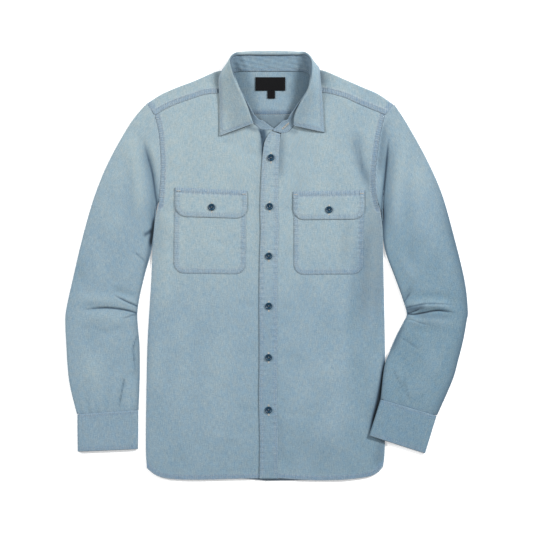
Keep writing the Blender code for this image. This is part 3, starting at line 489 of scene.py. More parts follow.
def chambray(name):
    """Heathered blue cloth that reads the wash, the painted shade and the thread's direction off its
    points.
    """
    wires = Wiring(name)
    wash_and_shade = wires.node("ShaderNodeAttribute", attribute_name="wash_and_shade")
    lay = wires.node("ShaderNodeAttribute", attribute_name="lay").outputs["Vector"]
    parts = wires.node("ShaderNodeSeparateColor", {"Color": wash_and_shade.outputs["Color"]})
    depth, seam, wear_and_shade = parts.outputs[0], parts.outputs[1], parts.outputs[2]

    cloud = wires.noise(lay, (46, 60, 46), detail=3)
    deep = wires.math("ADD", depth, wires.math("MULTIPLY", wires.math("SUBTRACT", cloud, 0.5), 0.30))
    ramp = wires.node("ShaderNodeValToRGB", {"Fac": deep})
    ramp.color_ramp.elements[0].color = linear(CHEST)
    ramp.color_ramp.elements[1].color = linear(LOW)
    ramp.color_ramp.elements.new(0.5).color = linear(WAIST)
    mottle = spread_out(wires, wires.noise(lay, (5.5, 5.5, 5.5), detail=3, rough=0.6), 0.38, 0.62)
    ribs = seam_ribs(wires, wash_and_shade.outputs["Alpha"], mottle)
    doubled = wires.math("MULTIPLY", seam, wires.math("ADD", 0.16, wires.math("MULTIPLY", ribs, 0.60)))
    colour = wires.mix(doubled, ramp.outputs[0], linear(SEAM))

    warp = wires.noise(lay, (1.3, 11.0, 6.0), detail=3, rough=0.7)
    weft = wires.noise(lay, (9.0, 1.3, 6.0), detail=3, rough=0.7)
    fleck = wires.noise(lay, (2.0, 2.0, 2.0), detail=3, rough=0.75)
    grain = wires.math("ADD", wires.math("ADD", warp, wires.math("MULTIPLY", weft, 0.6)), fleck)
    grain = spread_out(wires, grain, 1.0, 1.6)
    pale, dark = (0.74, 0.70, 0.66, 1), (0.24, 0.29, 0.35, 1)
    colour = wires.mix(0.8, colour, wires.mix(grain, dark, pale), "SOFT_LIGHT")
    warm = spread_out(wires, wires.noise(lay, (9.0, 14.0, 9.0), detail=3, rough=0.65), 0.36, 0.64)
    greyer, bluer = (0.58, 0.52, 0.47, 1), (0.43, 0.49, 0.55, 1)
    colour = wires.mix(0.5, colour, wires.mix(warm, bluer, greyer), "SOFT_LIGHT")

    # Painted shade: a worn value below zero darkens the cloth towards the crease shade, and below
    # minus one on towards the deep shade where two layers meet.
    painted_shade = wires.math("MULTIPLY", wear_and_shade, -0.9, clamp=True)
    colour = wires.mix(painted_shade, colour, linear(CREASE_SHADE))
    tucked = wires.math("SUBTRACT", wires.math("MULTIPLY", wear_and_shade, -1.0), 1.0, clamp=True)
    colour = wires.mix(tucked, colour, linear(TUCKED))
    rub = wires.noise(lay, (3.2, 3.2, 3.2), detail=3, rough=0.6)
    rub = wires.math("MULTIPLY", wear_and_shade, spread_out(wires, rub, 0.35, 0.65), clamp=True)
    colour = wires.mix(wires.math("MULTIPLY", rub, 0.85), colour, linear(WORN))
    wires.put(wires.shader.inputs["Base Color"], colour)
    wires.put(wires.shader.inputs["Roughness"], spread_rough(wires, grain))
    wires.shader.inputs["Specular IOR Level"].default_value = 0.15
    wires.shader.inputs["Sheen Weight"].default_value = 0.12
    wires.shader.inputs["Sheen Roughness"].default_value = 0.6
    weave_bump(wires, lay, grain, wires.math("MULTIPLY", seam, ribs))
    return wires.material


def seam_ribs(wires, run, mottle):
    """The fine ladder of puckers that two rows of stitches leave between them, 0 to 1."""
    turns = wires.math("MULTIPLY", run, 1000 * 2 * math.pi / RIB_PITCH)
    wander = wires.math("MULTIPLY", mottle, 2.5)
    wave = wires.math("SINE", wires.math("ADD", turns, wander))
    strength = wires.math("ADD", 0.2, wires.math("MULTIPLY", mottle, 0.3))
    return wires.math("ADD", 0.5, wires.math("MULTIPLY", wave, strength))


def spread_rough(wires, grain):
    """Cotton is matt, a little less so on the raised yarn."""
    return wires.math("ADD", 0.84, wires.math("MULTIPLY", grain, 0.1))


# %% [markdown]
# The weave itself is one thread over and one under, about twenty to the centimetre.
# It is far too fine for geometry, so it is bump, and so is the crumple between the
# folds. Both are in millimetres of height, which keeps them honest at any distance.


# %% The weave and the crumple, as bump
THREAD_PITCH = 0.5


def weave_bump(wires, lay, grain, ribs):
    """The threads, the slubs, the crumple and the seams' ladder, raised on the surface."""
    ridges = []
    for direction in ("X", "Y"):
        mapped = wires.node("ShaderNodeMapping", {"Vector": lay})
        mapped.inputs["Scale"].default_value = (1 / THREAD_PITCH,) * 3
        wave = wires.node("ShaderNodeTexWave", {"Vector": mapped.outputs[0], "Scale": 0.314,
                                                "Distortion": 1.2, "Detail": 1.0},
                          wave_type="BANDS", bands_direction=direction)
        ridges.append(wave.outputs["Fac"])
    weave = wires.math("MULTIPLY", wires.math("MAXIMUM", *ridges), 0.05)
    slubs = wires.math("MULTIPLY", grain, 0.10)
    crumple = wires.math("MULTIPLY", wires.noise(lay, (13, 17, 13), detail=3, rough=0.55), 0.9)
    crumple = wires.math("SUBTRACT", crumple, wires.math("MULTIPLY", ribs, 0.45))
    height = wires.math("ADD", wires.math("ADD", weave, slubs), crumple)
    bump = wires.node("ShaderNodeBump", {"Height": height, "Distance": MM, "Strength": 0.75})
    wires.put(wires.shader.inputs["Normal"], bump.outputs["Normal"])


CHAMBRAY = chambray("washed_chambray")
print("chambray has", len(CHAMBRAY.node_tree.nodes), "nodes")


# %% [markdown]
# ## Sewing a piece
# A piece of cloth is a grid of points down its middle. Every point also stores its wash
# and painted shade and where it is along the thread, and Solidify then gives the cloth
# its thickness. Each piece stands for its solid and rides on the shirt's one body.


# %% How the wash and the painted shade depend on the place
BODY_FADE = [(-386, 0.68), (-317, 0.64), (-200, 0.58), (-88, 0.52), (-20, 0.31), (38, 0.16),
             (110, 0.11), (190, 0.12), (300, 0.10)]
SLEEVE_FADE_RIGHT = [(-330, 0.54), (-238, 0.50), (-151, 0.47), (20, 0.54), (119, 0.42),
                     (160, 0.32), (225, 0.16), (290, 0.12)]
SLEEVE_FADE_LEFT = [(-330, 1.0), (-227, 0.98), (-151, 1.0), (25, 0.86), (98, 0.68), (130, 0.52),
                    (156, 0.44), (231, 0.36), (290, 0.32)]


def faded(table, y):
    """The depth of the colour at heights y on the plan, from a table of (y, depth)."""
    heights, depths = np.array(table, float).T
    return np.interp(y, heights, depths)


def body_depth(plan):
    """How deep the blue still is on the body: 0 over the chest, 1 at its deepest."""
    x, y = plan[..., 0], plan[..., 1]
    side = 0.06 * ease(np.abs(x - MIDDLE_X), 150, 215) * ease(y, 160, 60)
    side += 0.08 * ease(x, 110, 170)
    # Painted shade in the hollows of the folds and painted light on their ridges.
    hollow = np.clip(front_relief(plan), -2.5, 2.0)
    return faded(BODY_FADE, y) + 0.0004 * (x - MIDDLE_X) + side - 0.12 * hollow


def sleeve_depth(plan):
    """The sleeves deepen sooner, and the wearer's left one lies deeper in colour."""
    left = ease(plan[..., 0], -50, 50)
    y = plan[..., 1] + 12 * np.sin(plan[..., 0] / 19)
    return faded(SLEEVE_FADE_RIGHT, y) * (1 - left) + faded(SLEEVE_FADE_LEFT, y) * left


print("depth at the hem:", body_depth(np.array([[-100.0, -370.0], [100.0, -370.0]])).round(2))


# %% A piece from a grid of points
def grid_normals(grid):
    """The upward normal at each point of a grid."""
    normals = np.cross(np.gradient(grid, axis=1), np.gradient(grid, axis=0))
    normals /= np.maximum(np.linalg.norm(normals, axis=2, keepdims=True), 1e-9)
    return normals * np.where(normals[..., 2:] < 0, -1.0, 1.0)


def thread_lay(grid, closed):
    """Distance across and along the cloth at each point, in mm, for the weave to follow."""
    filled = np.nan_to_num(grid)
    across = np.concatenate([np.zeros((len(grid), 1)),
                             np.cumsum(np.linalg.norm(np.diff(filled, axis=1), axis=2), 1)], 1)
    middle = grid.shape[1] // 2 if not closed else 0
    across = across - across[:, middle:middle + 1] + filled[len(grid) // 2, middle, 0]
    along = reach_of(filled[:, middle])
    along = np.repeat(along[:, None], grid.shape[1], 1) + filled[0, middle, 1]
    return np.stack([across, along, np.zeros_like(along)], -1)


def sew(name, grid, thickness, finish, wash_and_shade, closed=False, curled=False, straight=False):
    """One piece of cloth from its grid; where the grid holds NaN there is no cloth.

    The thread of a straight piece runs with the plan, and another's along its own grid.
    """
    rows, columns = grid.shape[:2]
    there = ~np.isnan(grid[..., 0])
    index = np.full(there.shape, -1)
    index[there] = np.arange(there.sum())
    ring = np.hstack([index, index[:, :1]]) if closed else index
    faces = np.stack([ring[:-1, :-1], ring[:-1, 1:], ring[1:, 1:], ring[1:, :-1]], -1)
    faces = faces.reshape(-1, 4)
    faces = faces[(faces >= 0).all(axis=1)]
    mesh = bpy.data.meshes.new(name)
    mesh.from_pydata((grid[there] * MM).tolist(), [], faces.tolist())
    lay = mesh.attributes.new("lay", "FLOAT_VECTOR", "POINT")
    threads = grid * [1, 1, 0] if straight else thread_lay(grid, closed)
    lay.data.foreach_set("vector", threads[there].astype(np.float32).ravel())
    tint = mesh.attributes.new("wash_and_shade", "FLOAT_COLOR", "POINT")
    depth, seam, wear_and_shade, *run = wash_and_shade
    run = run[0] / 1000 if run else np.zeros((rows, columns))
    shown = np.stack([np.clip(depth, 0, 1), np.clip(seam, 0, 1), np.clip(wear_and_shade, -2, 1), run], -1)[there]
    tint.data.foreach_set("color", shown.astype(np.float32).ravel())
    mesh.materials.append(finish)
    mesh.shade_smooth()
    piece = bpy.data.objects.new(name, mesh)
    bpy.context.collection.objects.link(piece)
    solid = piece.modifiers.new("thickness", "SOLIDIFY")
    solid.thickness = thickness * MM
    solid.offset = 0.0
    solid.use_even_offset = not closed and not curled
    flatter = piece.modifiers.new("even_shading", "WEIGHTED_NORMAL")
    flatter.weight = 90
    return piece


def dress(piece, *nodes, slot="chambray"):
    """The piece stands for its solids and rides with the shirt."""
    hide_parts(*nodes)
    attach(piece, "root")


print("a piece is", SHELL, "mm thick here, and", CLOTH, "in the solids")

# %% [markdown]
# ## Stitches
# The seams of a work shirt are stitched twice in a thread a little paler than the cloth.
# From a step away they are rows of dots, so each stitch is a mesh of its own: a short
# bead, thick in the middle, whose ends dip into the cloth. A curve with a bevel would do,
# but thousands of them are slow to make, so one function lays beads along any line and
# joins them into one mesh for each piece of the shirt.

# %% Thread
THREAD = (192, 207, 215)
IVORY = (246, 245, 238)
TAPE_STITCH = (34, 34, 36)


def thread(name, colour):
    """Cotton-wrapped thread: its ply shows as fine slanting bands."""
    wires = Wiring(name)
    where = wires.node("ShaderNodeTexCoord").outputs["Object"]
    mapped = wires.node("ShaderNodeMapping", {"Vector": where})
    mapped.inputs["Scale"].default_value = (1000,) * 3
    ply = wires.node("ShaderNodeTexWave", {"Vector": mapped.outputs[0], "Scale": 1.1,
                                           "Distortion": 2.0}, bands_direction="DIAGONAL")
    shade = wires.noise(mapped.outputs[0], (6, 6, 6))
    dark = tuple(value * 0.72 for value in linear(colour)[:3]) + (1.0,)
    base = wires.mix(wires.math("MULTIPLY", shade, ply.outputs["Fac"]), dark, linear(colour))
    wires.put(wires.shader.inputs["Base Color"], base)
    wires.shader.inputs["Roughness"].default_value = 0.55
    bump = wires.node("ShaderNodeBump", {"Height": ply.outputs["Fac"], "Distance": 0.1 * MM})
    wires.put(wires.shader.inputs["Normal"], bump.outputs["Normal"])
    return wires.material


SEAM_THREAD = thread("seam_thread", THREAD)
BUTTON_THREAD = thread("buttonhole_thread", IVORY)
TAPE_THREAD = thread("label_thread", TAPE_STITCH)
print("thread colours:", THREAD, IVORY, TAPE_STITCH)


# %% Beads along a line
def beads(line, normals, pitch, length, width, height):
    """Corners and faces of stitches along a line of points, each on its normal."""
    reach = reach_of(line)
    count = max(int(reach[-1] / pitch), 1)
    centres = np.linspace(pitch / 2, reach[-1] - pitch / 2, count)

    def at(where, table):
        return np.column_stack([np.interp(where, reach, column) for column in table.T])

    middle = at(centres, line)
    heading = at(np.minimum(centres + 0.4, reach[-1]), line) - at(np.maximum(centres - 0.4, 0), line)
    heading /= np.linalg.norm(heading, axis=1, keepdims=True)
    up = at(centres, normals)
    side = np.cross(heading, up)
    side /= np.linalg.norm(side, axis=1, keepdims=True)
    up = np.cross(side, heading)
    corners = [middle - heading * length / 2 - up * height]
    for step in (-0.28, 0.28):
        for out, rise in ((1, 0), (0, 1), (-1, 0), (0, -1)):
            spot = middle + heading * step * length
            corners.append(spot + side * out * width / 2 + up * rise * height)
    corners.append(middle + heading * length / 2 - up * height)
    bead = [[0, 2, 1, 1], [0, 3, 2, 2], [0, 4, 3, 3], [0, 1, 4, 4],
            [1, 2, 6, 5], [2, 3, 7, 6], [3, 4, 8, 7], [4, 1, 5, 8],
            [9, 5, 6, 6], [9, 6, 7, 7], [9, 7, 8, 8], [9, 8, 5, 5]]
    corners = np.stack(corners, 1)
    faces = np.array(bead)[None] + 10 * np.arange(count)[:, None, None]
    return corners.reshape(-1, 3), faces.reshape(-1, 4)


def stitch(name, rows, finish=SEAM_THREAD, pitch=3.1, length=2.5, width=0.62, height=0.34):
    """One mesh of stitches along several rows, each a line of points and its normals."""
    corners, faces, passed = [], [], 0
    for line, normals in rows:
        spots, loops = beads(line, normals, pitch, length, width, height)
        corners.append(spots)
        faces.append(loops + passed)
        passed += len(spots)
    spots, loops = np.vstack(corners), np.vstack(faces)
    mesh = bpy.data.meshes.new(name)
    mesh.from_pydata((spots * MM).tolist(), [], [list(dict.fromkeys(f)) for f in loops.tolist()])
    mesh.materials.append(finish)
    mesh.shade_smooth()
    piece = bpy.data.objects.new(name, mesh)
    bpy.context.collection.objects.link(piece)
    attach(piece, "root")
    print(f"{name}: {len(spots) // 10} stitches")


def on_cloth(line, level, thickness=SHELL):
    """A plan line laid on the top of cloth, with normals that point up."""
    line = np.asarray(line, float)
    top = level(line) + thickness / 2
    return np.column_stack([line, top]), np.tile([0.0, 0.0, 1.0], (len(line), 1))


def beside(line, distance):
    """A plan line moved to its left by a distance, or to its right by a negative one."""
    run = np.gradient(line, axis=0)
    normal = np.column_stack([-run[:, 1], run[:, 0]])
    return line + distance * normal / np.linalg.norm(run, axis=1, keepdims=True)


# %% [markdown]
# ## The back
# The back is a rectangle below the yoke, shaped at the sides and the armholes. It rests
# on the table and only its edges show, so its grid is coarse and its underside flat. A
# single box would fit as well, but then its hem would not follow the front's.

# %% The back panel
HEM_MIDDLE = (0.0, -386.3)
hem_right = evenly(HEM_RIGHT[:-1] + [HEM_MIDDLE], 36)
hem_left = evenly([HEM_MIDDLE] + HEM_LEFT[1:], 36)
hem_line = np.vstack([hem_right, hem_left[1:]])
back_right = np.vstack([evenly(SIDE_RIGHT, 70), evenly(ARMHOLE_RIGHT, 28)[1:]])
back_left = np.vstack([evenly(SIDE_LEFT, 70), evenly(ARMHOLE_LEFT, 28)[1:]])
back_top = along_line([ARMHOLE_RIGHT[-1], ARMHOLE_LEFT[-1]], np.linspace(0, 1, len(hem_line)))
plan = patch(hem_line + [0.0, 1.0], back_top, back_right, back_left)
away, along, _ = near(plan, hem_line)
height = np.full(plan.shape[:2], CLOTH / 2) + 0.15 * ease(away, 14, 4)
# Painted shade on the back where it shows inside the neck opening.
neck_opening_shade = folds(plan, [([(-80, 262), (10, 254), (100, 262)], 0.75, 30.0, 30.0)])
wash_and_shade = (body_depth(plan), ease(away, 10, 7), 0.6 * ease(away, 2.5, 0) - neck_opening_shade)
BACK_SHELL = 1.1
back = sew("back_cloth", np.dstack([plan, height]), BACK_SHELL, CHAMBRAY, wash_and_shade)
dress(back, "back_panel")
print("back:", plan.shape[0], "by", plan.shape[1], "points")

# %% [markdown]
# ## The fronts
# Each front runs from the hem to the yoke seam, and from its side seam to the middle.
# The wearer's left front carries the placket, and the right front's edge runs on under
# it. Around the armhole the seam is felled towards the body, so a doubled band follows
# it, and the hem is a narrow double turn. Both bands are steps in the height, with
# puckers along their stitches, and both are marked in the wash.


# %% What a front's edges do to its cloth
def front_edges(plan, armhole, hem, side, upper, phase):
    """Relief, wash and painted shade of a front's felled armhole, turned hem, side seam and creases.
    """
    depth = body_depth(plan)
    from_arm, arm_along, _ = near(plan, armhole)
    under_yoke = ease(near(plan, upper)[0], 3.5, 0.5)
    from_hem, hem_along, _ = near(plan, hem)
    from_side, side_along, _ = near(plan, side)
    relief = felled(from_arm, FELL_WIDTH, 0.35) + felled(from_hem, HEM_WIDTH, 0.4)
    relief -= 0.6 * under_yoke
    pinched = creases(plan, BODY_CREASES)
    relief += pinched
    relief += puckers(from_arm - 4, arm_along, 0.32, 6, 8.5, phase)
    relief += puckers(from_hem - 6, hem_along, 0.24, 6, 9.5, phase + 1)
    relief += puckers(from_side, side_along, 0.30, 7, 13.0, phase + 2) * 0.7
    seam = np.maximum(ease(from_arm, 10, 8), ease(from_hem, 9.5, 7.5))
    seam = np.maximum(seam, 0.35 * ease(from_side, 9, 3))
    ribs = 0.5 + 0.5 * np.sin(2 * math.pi * hem_along / 9.5 + phase)
    wear_and_shade = 0.8 * ease(from_hem, 2.5, 0.3) + 0.35 * ease(abs(from_hem - 8), 2.2, 0) * ribs
    wear_and_shade = wear_and_shade + 0.45 * ease(abs(from_arm - 8.5), 2.4, 0) + 0.2 * ease(from_side, 2.5, 0)
    # Painted shade in the creases and along the body's shade lines.
    wear_and_shade -= np.clip(-pinched / 1.8, 0, 1) + folds(plan, BODY_SHADE)
    run = np.where(from_arm < 12, arm_along, np.where(from_hem < 12, hem_along, side_along))
    return relief, (depth, seam, wear_and_shade, run)


def front_cloth(name, hem, top, left, right, level, seams, phase):
    """A front panel from its four edges."""
    plan = patch(hem, top, left, right)
    armhole, side, upper = [evenly(seam, 60) for seam in seams]
    relief, wash_and_shade = front_edges(plan, armhole, hem, side, upper, phase)
    piece = sew(name, np.dstack([plan, level(plan) + relief]), SHELL, CHAMBRAY, wash_and_shade)
    print(name, plan.shape[:2], "points")
    return piece


# %% The two fronts
seam_x = [pair[1] for pair in reversed(PLACKET)]
FRONT_ROWS, ARM_ROWS = 205, 78
HEM_COLUMNS, SEAM_COLUMNS = 88, 54
ROOM = 1.3             # how far the fronts run on under the yoke
# A front's edges, how far it runs on past the placket's seam, its height, how its puckers
# fall, and its cut.
FRONTS = {
    "right": (HEM_RIGHT, SIDE_RIGHT, ARMHOLE_RIGHT, YOKE_SEAM_RIGHT, NECK_RIGHT, 1.6,
              front_level, 0.4, (0.24, 0.70)),
    "left": (HEM_LEFT, SIDE_LEFT, ARMHOLE_LEFT, YOKE_SEAM_LEFT, NECK_LEFT, 0.2,
             left_front_level, 2.1, (0.20, 0.70)),
}


def with_end_moved(edge, dy):
    """An edge whose last point is moved along y, to lie under the yoke's felled edge."""
    edge = edge.copy()
    edge[-1, 1] += dy
    return edge


for name, (low, outer, arm, upper, neck, past, level, phase, cut) in FRONTS.items():
    left = np.vstack([evenly(outer, FRONT_ROWS), evenly(arm, ARM_ROWS)[1:]])
    neck_end = neck[-1] if name == "right" else neck[0]
    right = evenly([(x - past, y) for x, y in seam_x[:-1]] + [neck_end], len(left))
    hem = evenly(low, HEM_COLUMNS)
    hem[-1 if name == "right" else 0] = right[0]
    first, second = evenly(upper, SEAM_COLUMNS), evenly(neck, HEM_COLUMNS - SEAM_COLUMNS + 1)
    if name == "left":
        left, right = right, left
        first, second = second, first
    top = np.vstack([first, second[1:]])
    front = front_cloth("front_" + name + "_cloth", hem, top + [0, ROOM],
                        with_end_moved(left, ROOM), with_end_moved(right, ROOM), level,
                        (arm, outer, upper), phase)
    dress(front, "front_" + name)

# %% Stitches of the fronts
hem_right, hem_left = evenly(HEM_RIGHT, 90), evenly(HEM_LEFT, 80)
arm_right, arm_left = evenly(ARMHOLE_RIGHT, 70), evenly(ARMHOLE_LEFT, 70)


def raised(level, height):
    """A level function, with a band's height added."""
    return lambda line: level(line) + height


rows = [on_cloth(beside(hem_right, 7.2)[6:-1], raised(front_level, 0.42))]
rows += [on_cloth(beside(arm_right, -inset), raised(front_level, 0.45)) for inset in (1.6, 7.4)]
stitch("stitches_front_right", rows)
rows = [on_cloth(beside(hem_left, 7.2)[1:-6], raised(left_front_level, 0.42))]
rows += [on_cloth(beside(arm_left, inset), raised(left_front_level, 0.45)) for inset in (1.6, 7.4)]
stitch("stitches_front_left", rows)

# %% [markdown]
# ## The placket
# The placket is a folded strip, sewn on with one row of stitches by each edge. The rows
# draw the strip in, so it puckers most beside them and puffs a little between. It lies on
# the right front and on the left front's edge.

# %% The placket strip
PLY = 1.6              # two layers with a facing, as the solids have them
PLY_SHELL = 1.4        # and as they show here
PLACKET_UP = CLOTH / 2 + 0.5 + PLY / 2
placket_free = evenly([pair[0] for pair in PLACKET], 250)
placket_seam = evenly([pair[1] for pair in PLACKET], 250)


def placket_level(plan):
    """Height of the middle of the placket's two layers."""
    from_free, along, _ = near(plan, placket_free[::6])
    from_seam, _, _ = near(plan, placket_seam[::6])
    inside = np.minimum(from_free, from_seam)
    relief = 0.25 * ease(inside, 3.0, 12.0) - 0.35 * ease(from_free, 2.0, 0.0)
    relief += puckers(from_free - 6, along, 0.42, 6.5, 9.5, 0.7)
    relief += puckers(from_seam - 6, along, 0.42, 6.5, 10.8, 2.2)
    return front_level(plan) + PLACKET_UP + relief


columns = np.linspace(0, 1, 17)[None, :, None]
plan = placket_free[:, None] * (1 - columns) + placket_seam[:, None] * columns
inside = np.minimum(near(plan, placket_free[::6])[0], near(plan, placket_seam[::6])[0])
along = near(plan, placket_seam[::6])[1]
ribs = 0.5 + 0.5 * np.sin(2 * math.pi * along / 9.4 + 1.5 * np.sin(along / 37))
depth = body_depth(plan) + 0.02 + 0.06 * ease(plan[..., 1], -20, -120)
wash_and_shade = (depth, 0.22 + 0.48 * ease(inside, 10, 6),
        0.5 * ease(inside, 1.8, 0.2) + 0.35 * ribs * ease(abs(inside - 5), 3, 0), along)
placket = sew("placket_strip", np.dstack([plan, placket_level(plan)]), PLY_SHELL, CHAMBRAY, wash_and_shade)
dress(placket, "placket")
rows = [on_cloth(beside(placket_free, 4.6), placket_level, PLY_SHELL),
        on_cloth(beside(placket_seam, -4.6), placket_level, PLY_SHELL)]
stitch("stitches_placket", rows)

# %% [markdown]
# ## The yoke
# One piece covers the back of the shoulders, folds over them, and ends at a felled seam on
# each front. Behind the neck only its inside shows, through the collar, with the seam to
# the back across it. Rows of points run up the back, round the fold and down the front.

# %% The yoke's columns
FOLD_RADIUS = 1.6
BACK_POINTS, TURN_POINTS, YOKE_FRONT_POINTS = 26, 6, 20


def back_seam_y(x):
    """The seam of the back to the yoke, straight between the two armholes."""
    right, left = ARMHOLE_RIGHT[-1], ARMHOLE_LEFT[-1]
    return right[1] + (left[1] - right[1]) * (x - right[0]) / (left[0] - right[0])


def yoke_back_level(plan):
    """Height of the middle of the yoke behind the neck, where it lies over the collar."""
    x, y = plan[..., 0], plan[..., 1]
    over_collar = 1 - ease(np.abs(x - MIDDLE_X), 76, 100)
    return CLOTH / 2 + (1.9 * ease(y, 303, 339) + 0.5 * ease(y, 342, 348)) * over_collar


def yoke_columns(feet, crowns, seams):
    """Columns of points up the back, round the shoulder fold and down the front."""
    inset = CLOTH / 2 + FOLD_RADIUS
    reach = np.linalg.norm(crowns - feet, axis=1, keepdims=True)
    heading = (crowns - feet) / reach
    turn = crowns - heading * inset
    shares = np.linspace(0, 1, BACK_POINTS)[None, :, None]
    back = feet[:, None] * (1 - shares) + turn[:, None] * shares
    low = yoke_back_level(turn)[:, None]
    angles = np.linspace(-math.pi / 2, math.pi / 2, TURN_POINTS + 2)[None, 1:]
    round_plan = turn[:, None] + heading[:, None] * (FOLD_RADIUS * np.cos(angles))[..., None]
    round_up = low + FOLD_RADIUS * (1 + np.sin(angles))
    shares = np.linspace(0, 1, YOKE_FRONT_POINTS + 1)[None, 1:, None]
    front = turn[:, None] * (1 - shares) + seams[:, None] * shares
    level = ease(shares[..., 0], 0, 1)
    front_up = round_up[:, -1:] * (1 - level) + front_level(seams)[:, None] * level
    grid = [np.dstack([back, yoke_back_level(back)]), np.dstack([round_plan, round_up]),
            np.dstack([front, front_up])]
    return np.concatenate(grid, axis=1)


# Each side's seam, shoulder fold, and the x where its stretch of the back's seam runs.
sides = []
for seam, shoulder, (first, last) in ((YOKE_SEAM_RIGHT, SHOULDER_RIGHT, (-200.4, -66.0)),
                                      (YOKE_SEAM_LEFT, SHOULDER_LEFT, (83.0, 214.4))):
    x = np.linspace(first, last, SEAM_COLUMNS)
    feet = np.column_stack([x, back_seam_y(x) + 0.4])
    sides.append(yoke_columns(feet, evenly(shoulder, SEAM_COLUMNS), evenly(seam, SEAM_COLUMNS)))
shares = np.linspace(0, 1, 42)[1:-1, None, None]
low, high = sides[0][-1, :BACK_POINTS], sides[1][0, :BACK_POINTS]
neck = low[None] * (1 - shares) + high[None] * shares
dip = 1.2 * np.sin(math.pi * shares[..., 0]) * np.linspace(0, 1, BACK_POINTS)[None]
neck[..., 1] -= dip
neck[..., 2] = yoke_back_level(neck[..., :2])
empty = np.full((len(neck), TURN_POINTS + 1 + YOKE_FRONT_POINTS, 3), np.nan)
grid = np.concatenate([sides[0], np.concatenate([neck, empty], axis=1), sides[1]], axis=0)
print("yoke:", grid.shape[:2], "points")

# %% The yoke's felled seams
on_front = np.zeros(grid.shape[:2], bool)
on_front[:, BACK_POINTS + 3:] = True
seam_rows = {"right": evenly(YOKE_SEAM_RIGHT, 60), "left": evenly(YOKE_SEAM_LEFT, 60)}
armhole_tops = {"right": np.array([ARMHOLE_RIGHT[-1], SHOULDER_RIGHT[0]]),
                "left": np.array([ARMHOLE_LEFT[-1], SHOULDER_LEFT[-1]])}
flat = np.nan_to_num(grid[..., :2], nan=1e6)
from_seam = np.minimum(near(flat, seam_rows["right"])[0], near(flat, seam_rows["left"])[0])
seam_along = flat[..., 0]
from_arm = np.minimum(near(flat, armhole_tops["right"])[0], near(flat, armhole_tops["left"])[0])
relief = felled(from_seam, 9.5, 0.5) + puckers(from_seam - 5, seam_along, 0.26, 5, 8.0, 1.1)
relief += felled(from_arm, FELL_WIDTH, 0.4) + waves(flat, 0.2, 9)
inside = np.abs(flat[..., 1] - back_seam_y(flat[..., 0]))
back_band = felled(inside, 8.0, 0.5) + puckers(inside - 4, seam_along, 0.15, 5, 8.0, 0.2)
grid[..., 2] += np.where(on_front, relief, 0.0)
grid[:, 1:BACK_POINTS - 2, 2] += np.maximum(back_band[:, 1:BACK_POINTS - 2], 0.0)
seam_mark = np.where(on_front, ease(from_seam, 11, 8.5), 0.9 * ease(inside, 9.5, 7.5))
seam_mark = np.maximum(seam_mark, ease(from_arm, 10, 8))
wear_and_shade = np.where(on_front, 0.5 * ease(abs(from_seam - 9.5), 2.4, 0) + 0.6 * ease(from_seam, 1.6, 0),
                0.3 * ease(abs(inside - 8), 2.4, 0))
# Painted shade: the inside of the yoke behind the collar is deeper in colour towards its sides and
# darker along the back seam's band, and the shoulders darken beside the leaves' edges.
shaded = ease(np.abs(flat[..., 0] - 9), 20, 75) * 0.35 + 0.50
painted_shade = 0.04 + 0.22 * ease(flat[..., 0], -20, -60) + 0.40 * ease(flat[..., 0], 28, 75)
painted_shade += 0.42 * ease(inside, 9.5, 8) + 0.5 * ease(abs(inside - 8.5), 1.8, 0.3)
collar_shadow = folds(flat, [([(-90, 350), (-86, 338), (-85, 320)], 0.45, 3.5, 3.5),
                             ([(-86, 322), (-85.5, 312), (-85.5, 298)], 1.6, 1.6, 1.6),
                             ([(94, 356), (99, 344), (102, 322)], 0.7, 4.0, 4.0)])
wear_and_shade = np.where(on_front, wear_and_shade - collar_shadow, wear_and_shade - painted_shade)
depth = np.where(on_front, body_depth(flat), shaded)
wash_and_shade = (depth, seam_mark, wear_and_shade, seam_along + 300)
yoke = sew("yoke_cloth", grid, SHELL, CHAMBRAY, wash_and_shade, straight=True)
dress(yoke, "yoke")


def yoke_front_level(line):
    """The yoke's front, near its seam."""
    return front_level(line) + 0.5


rows = []
for name in ("right", "left"):
    for inset in (1.6, 8.4):
        rows.append(on_cloth(beside(seam_rows[name], inset)[1:-1], yoke_front_level))
stitch("stitches_yoke", rows)
inner_seam = np.column_stack([np.linspace(-60, 76, 30), back_seam_y(np.linspace(-60, 76, 30)) + 6.8])
stitch("stitches_back_seam", [on_cloth(inner_seam, raised(yoke_back_level, 0.5))])

# %% [markdown]
# ## The sleeves and the cuffs
# A sleeve that lies flat is a tube pressed to an oval: a flat floor, a soft top and a
# round fold down each side. Its sections follow a table of outer and inner edges. The
# first sections bow with the armhole, so that the tube meets the body all along the seam.
# The elbows and the armpits hold the sharpest creases, because the arm bends there when
# the shirt is worn, and the two sleeves differ as they do on any table.

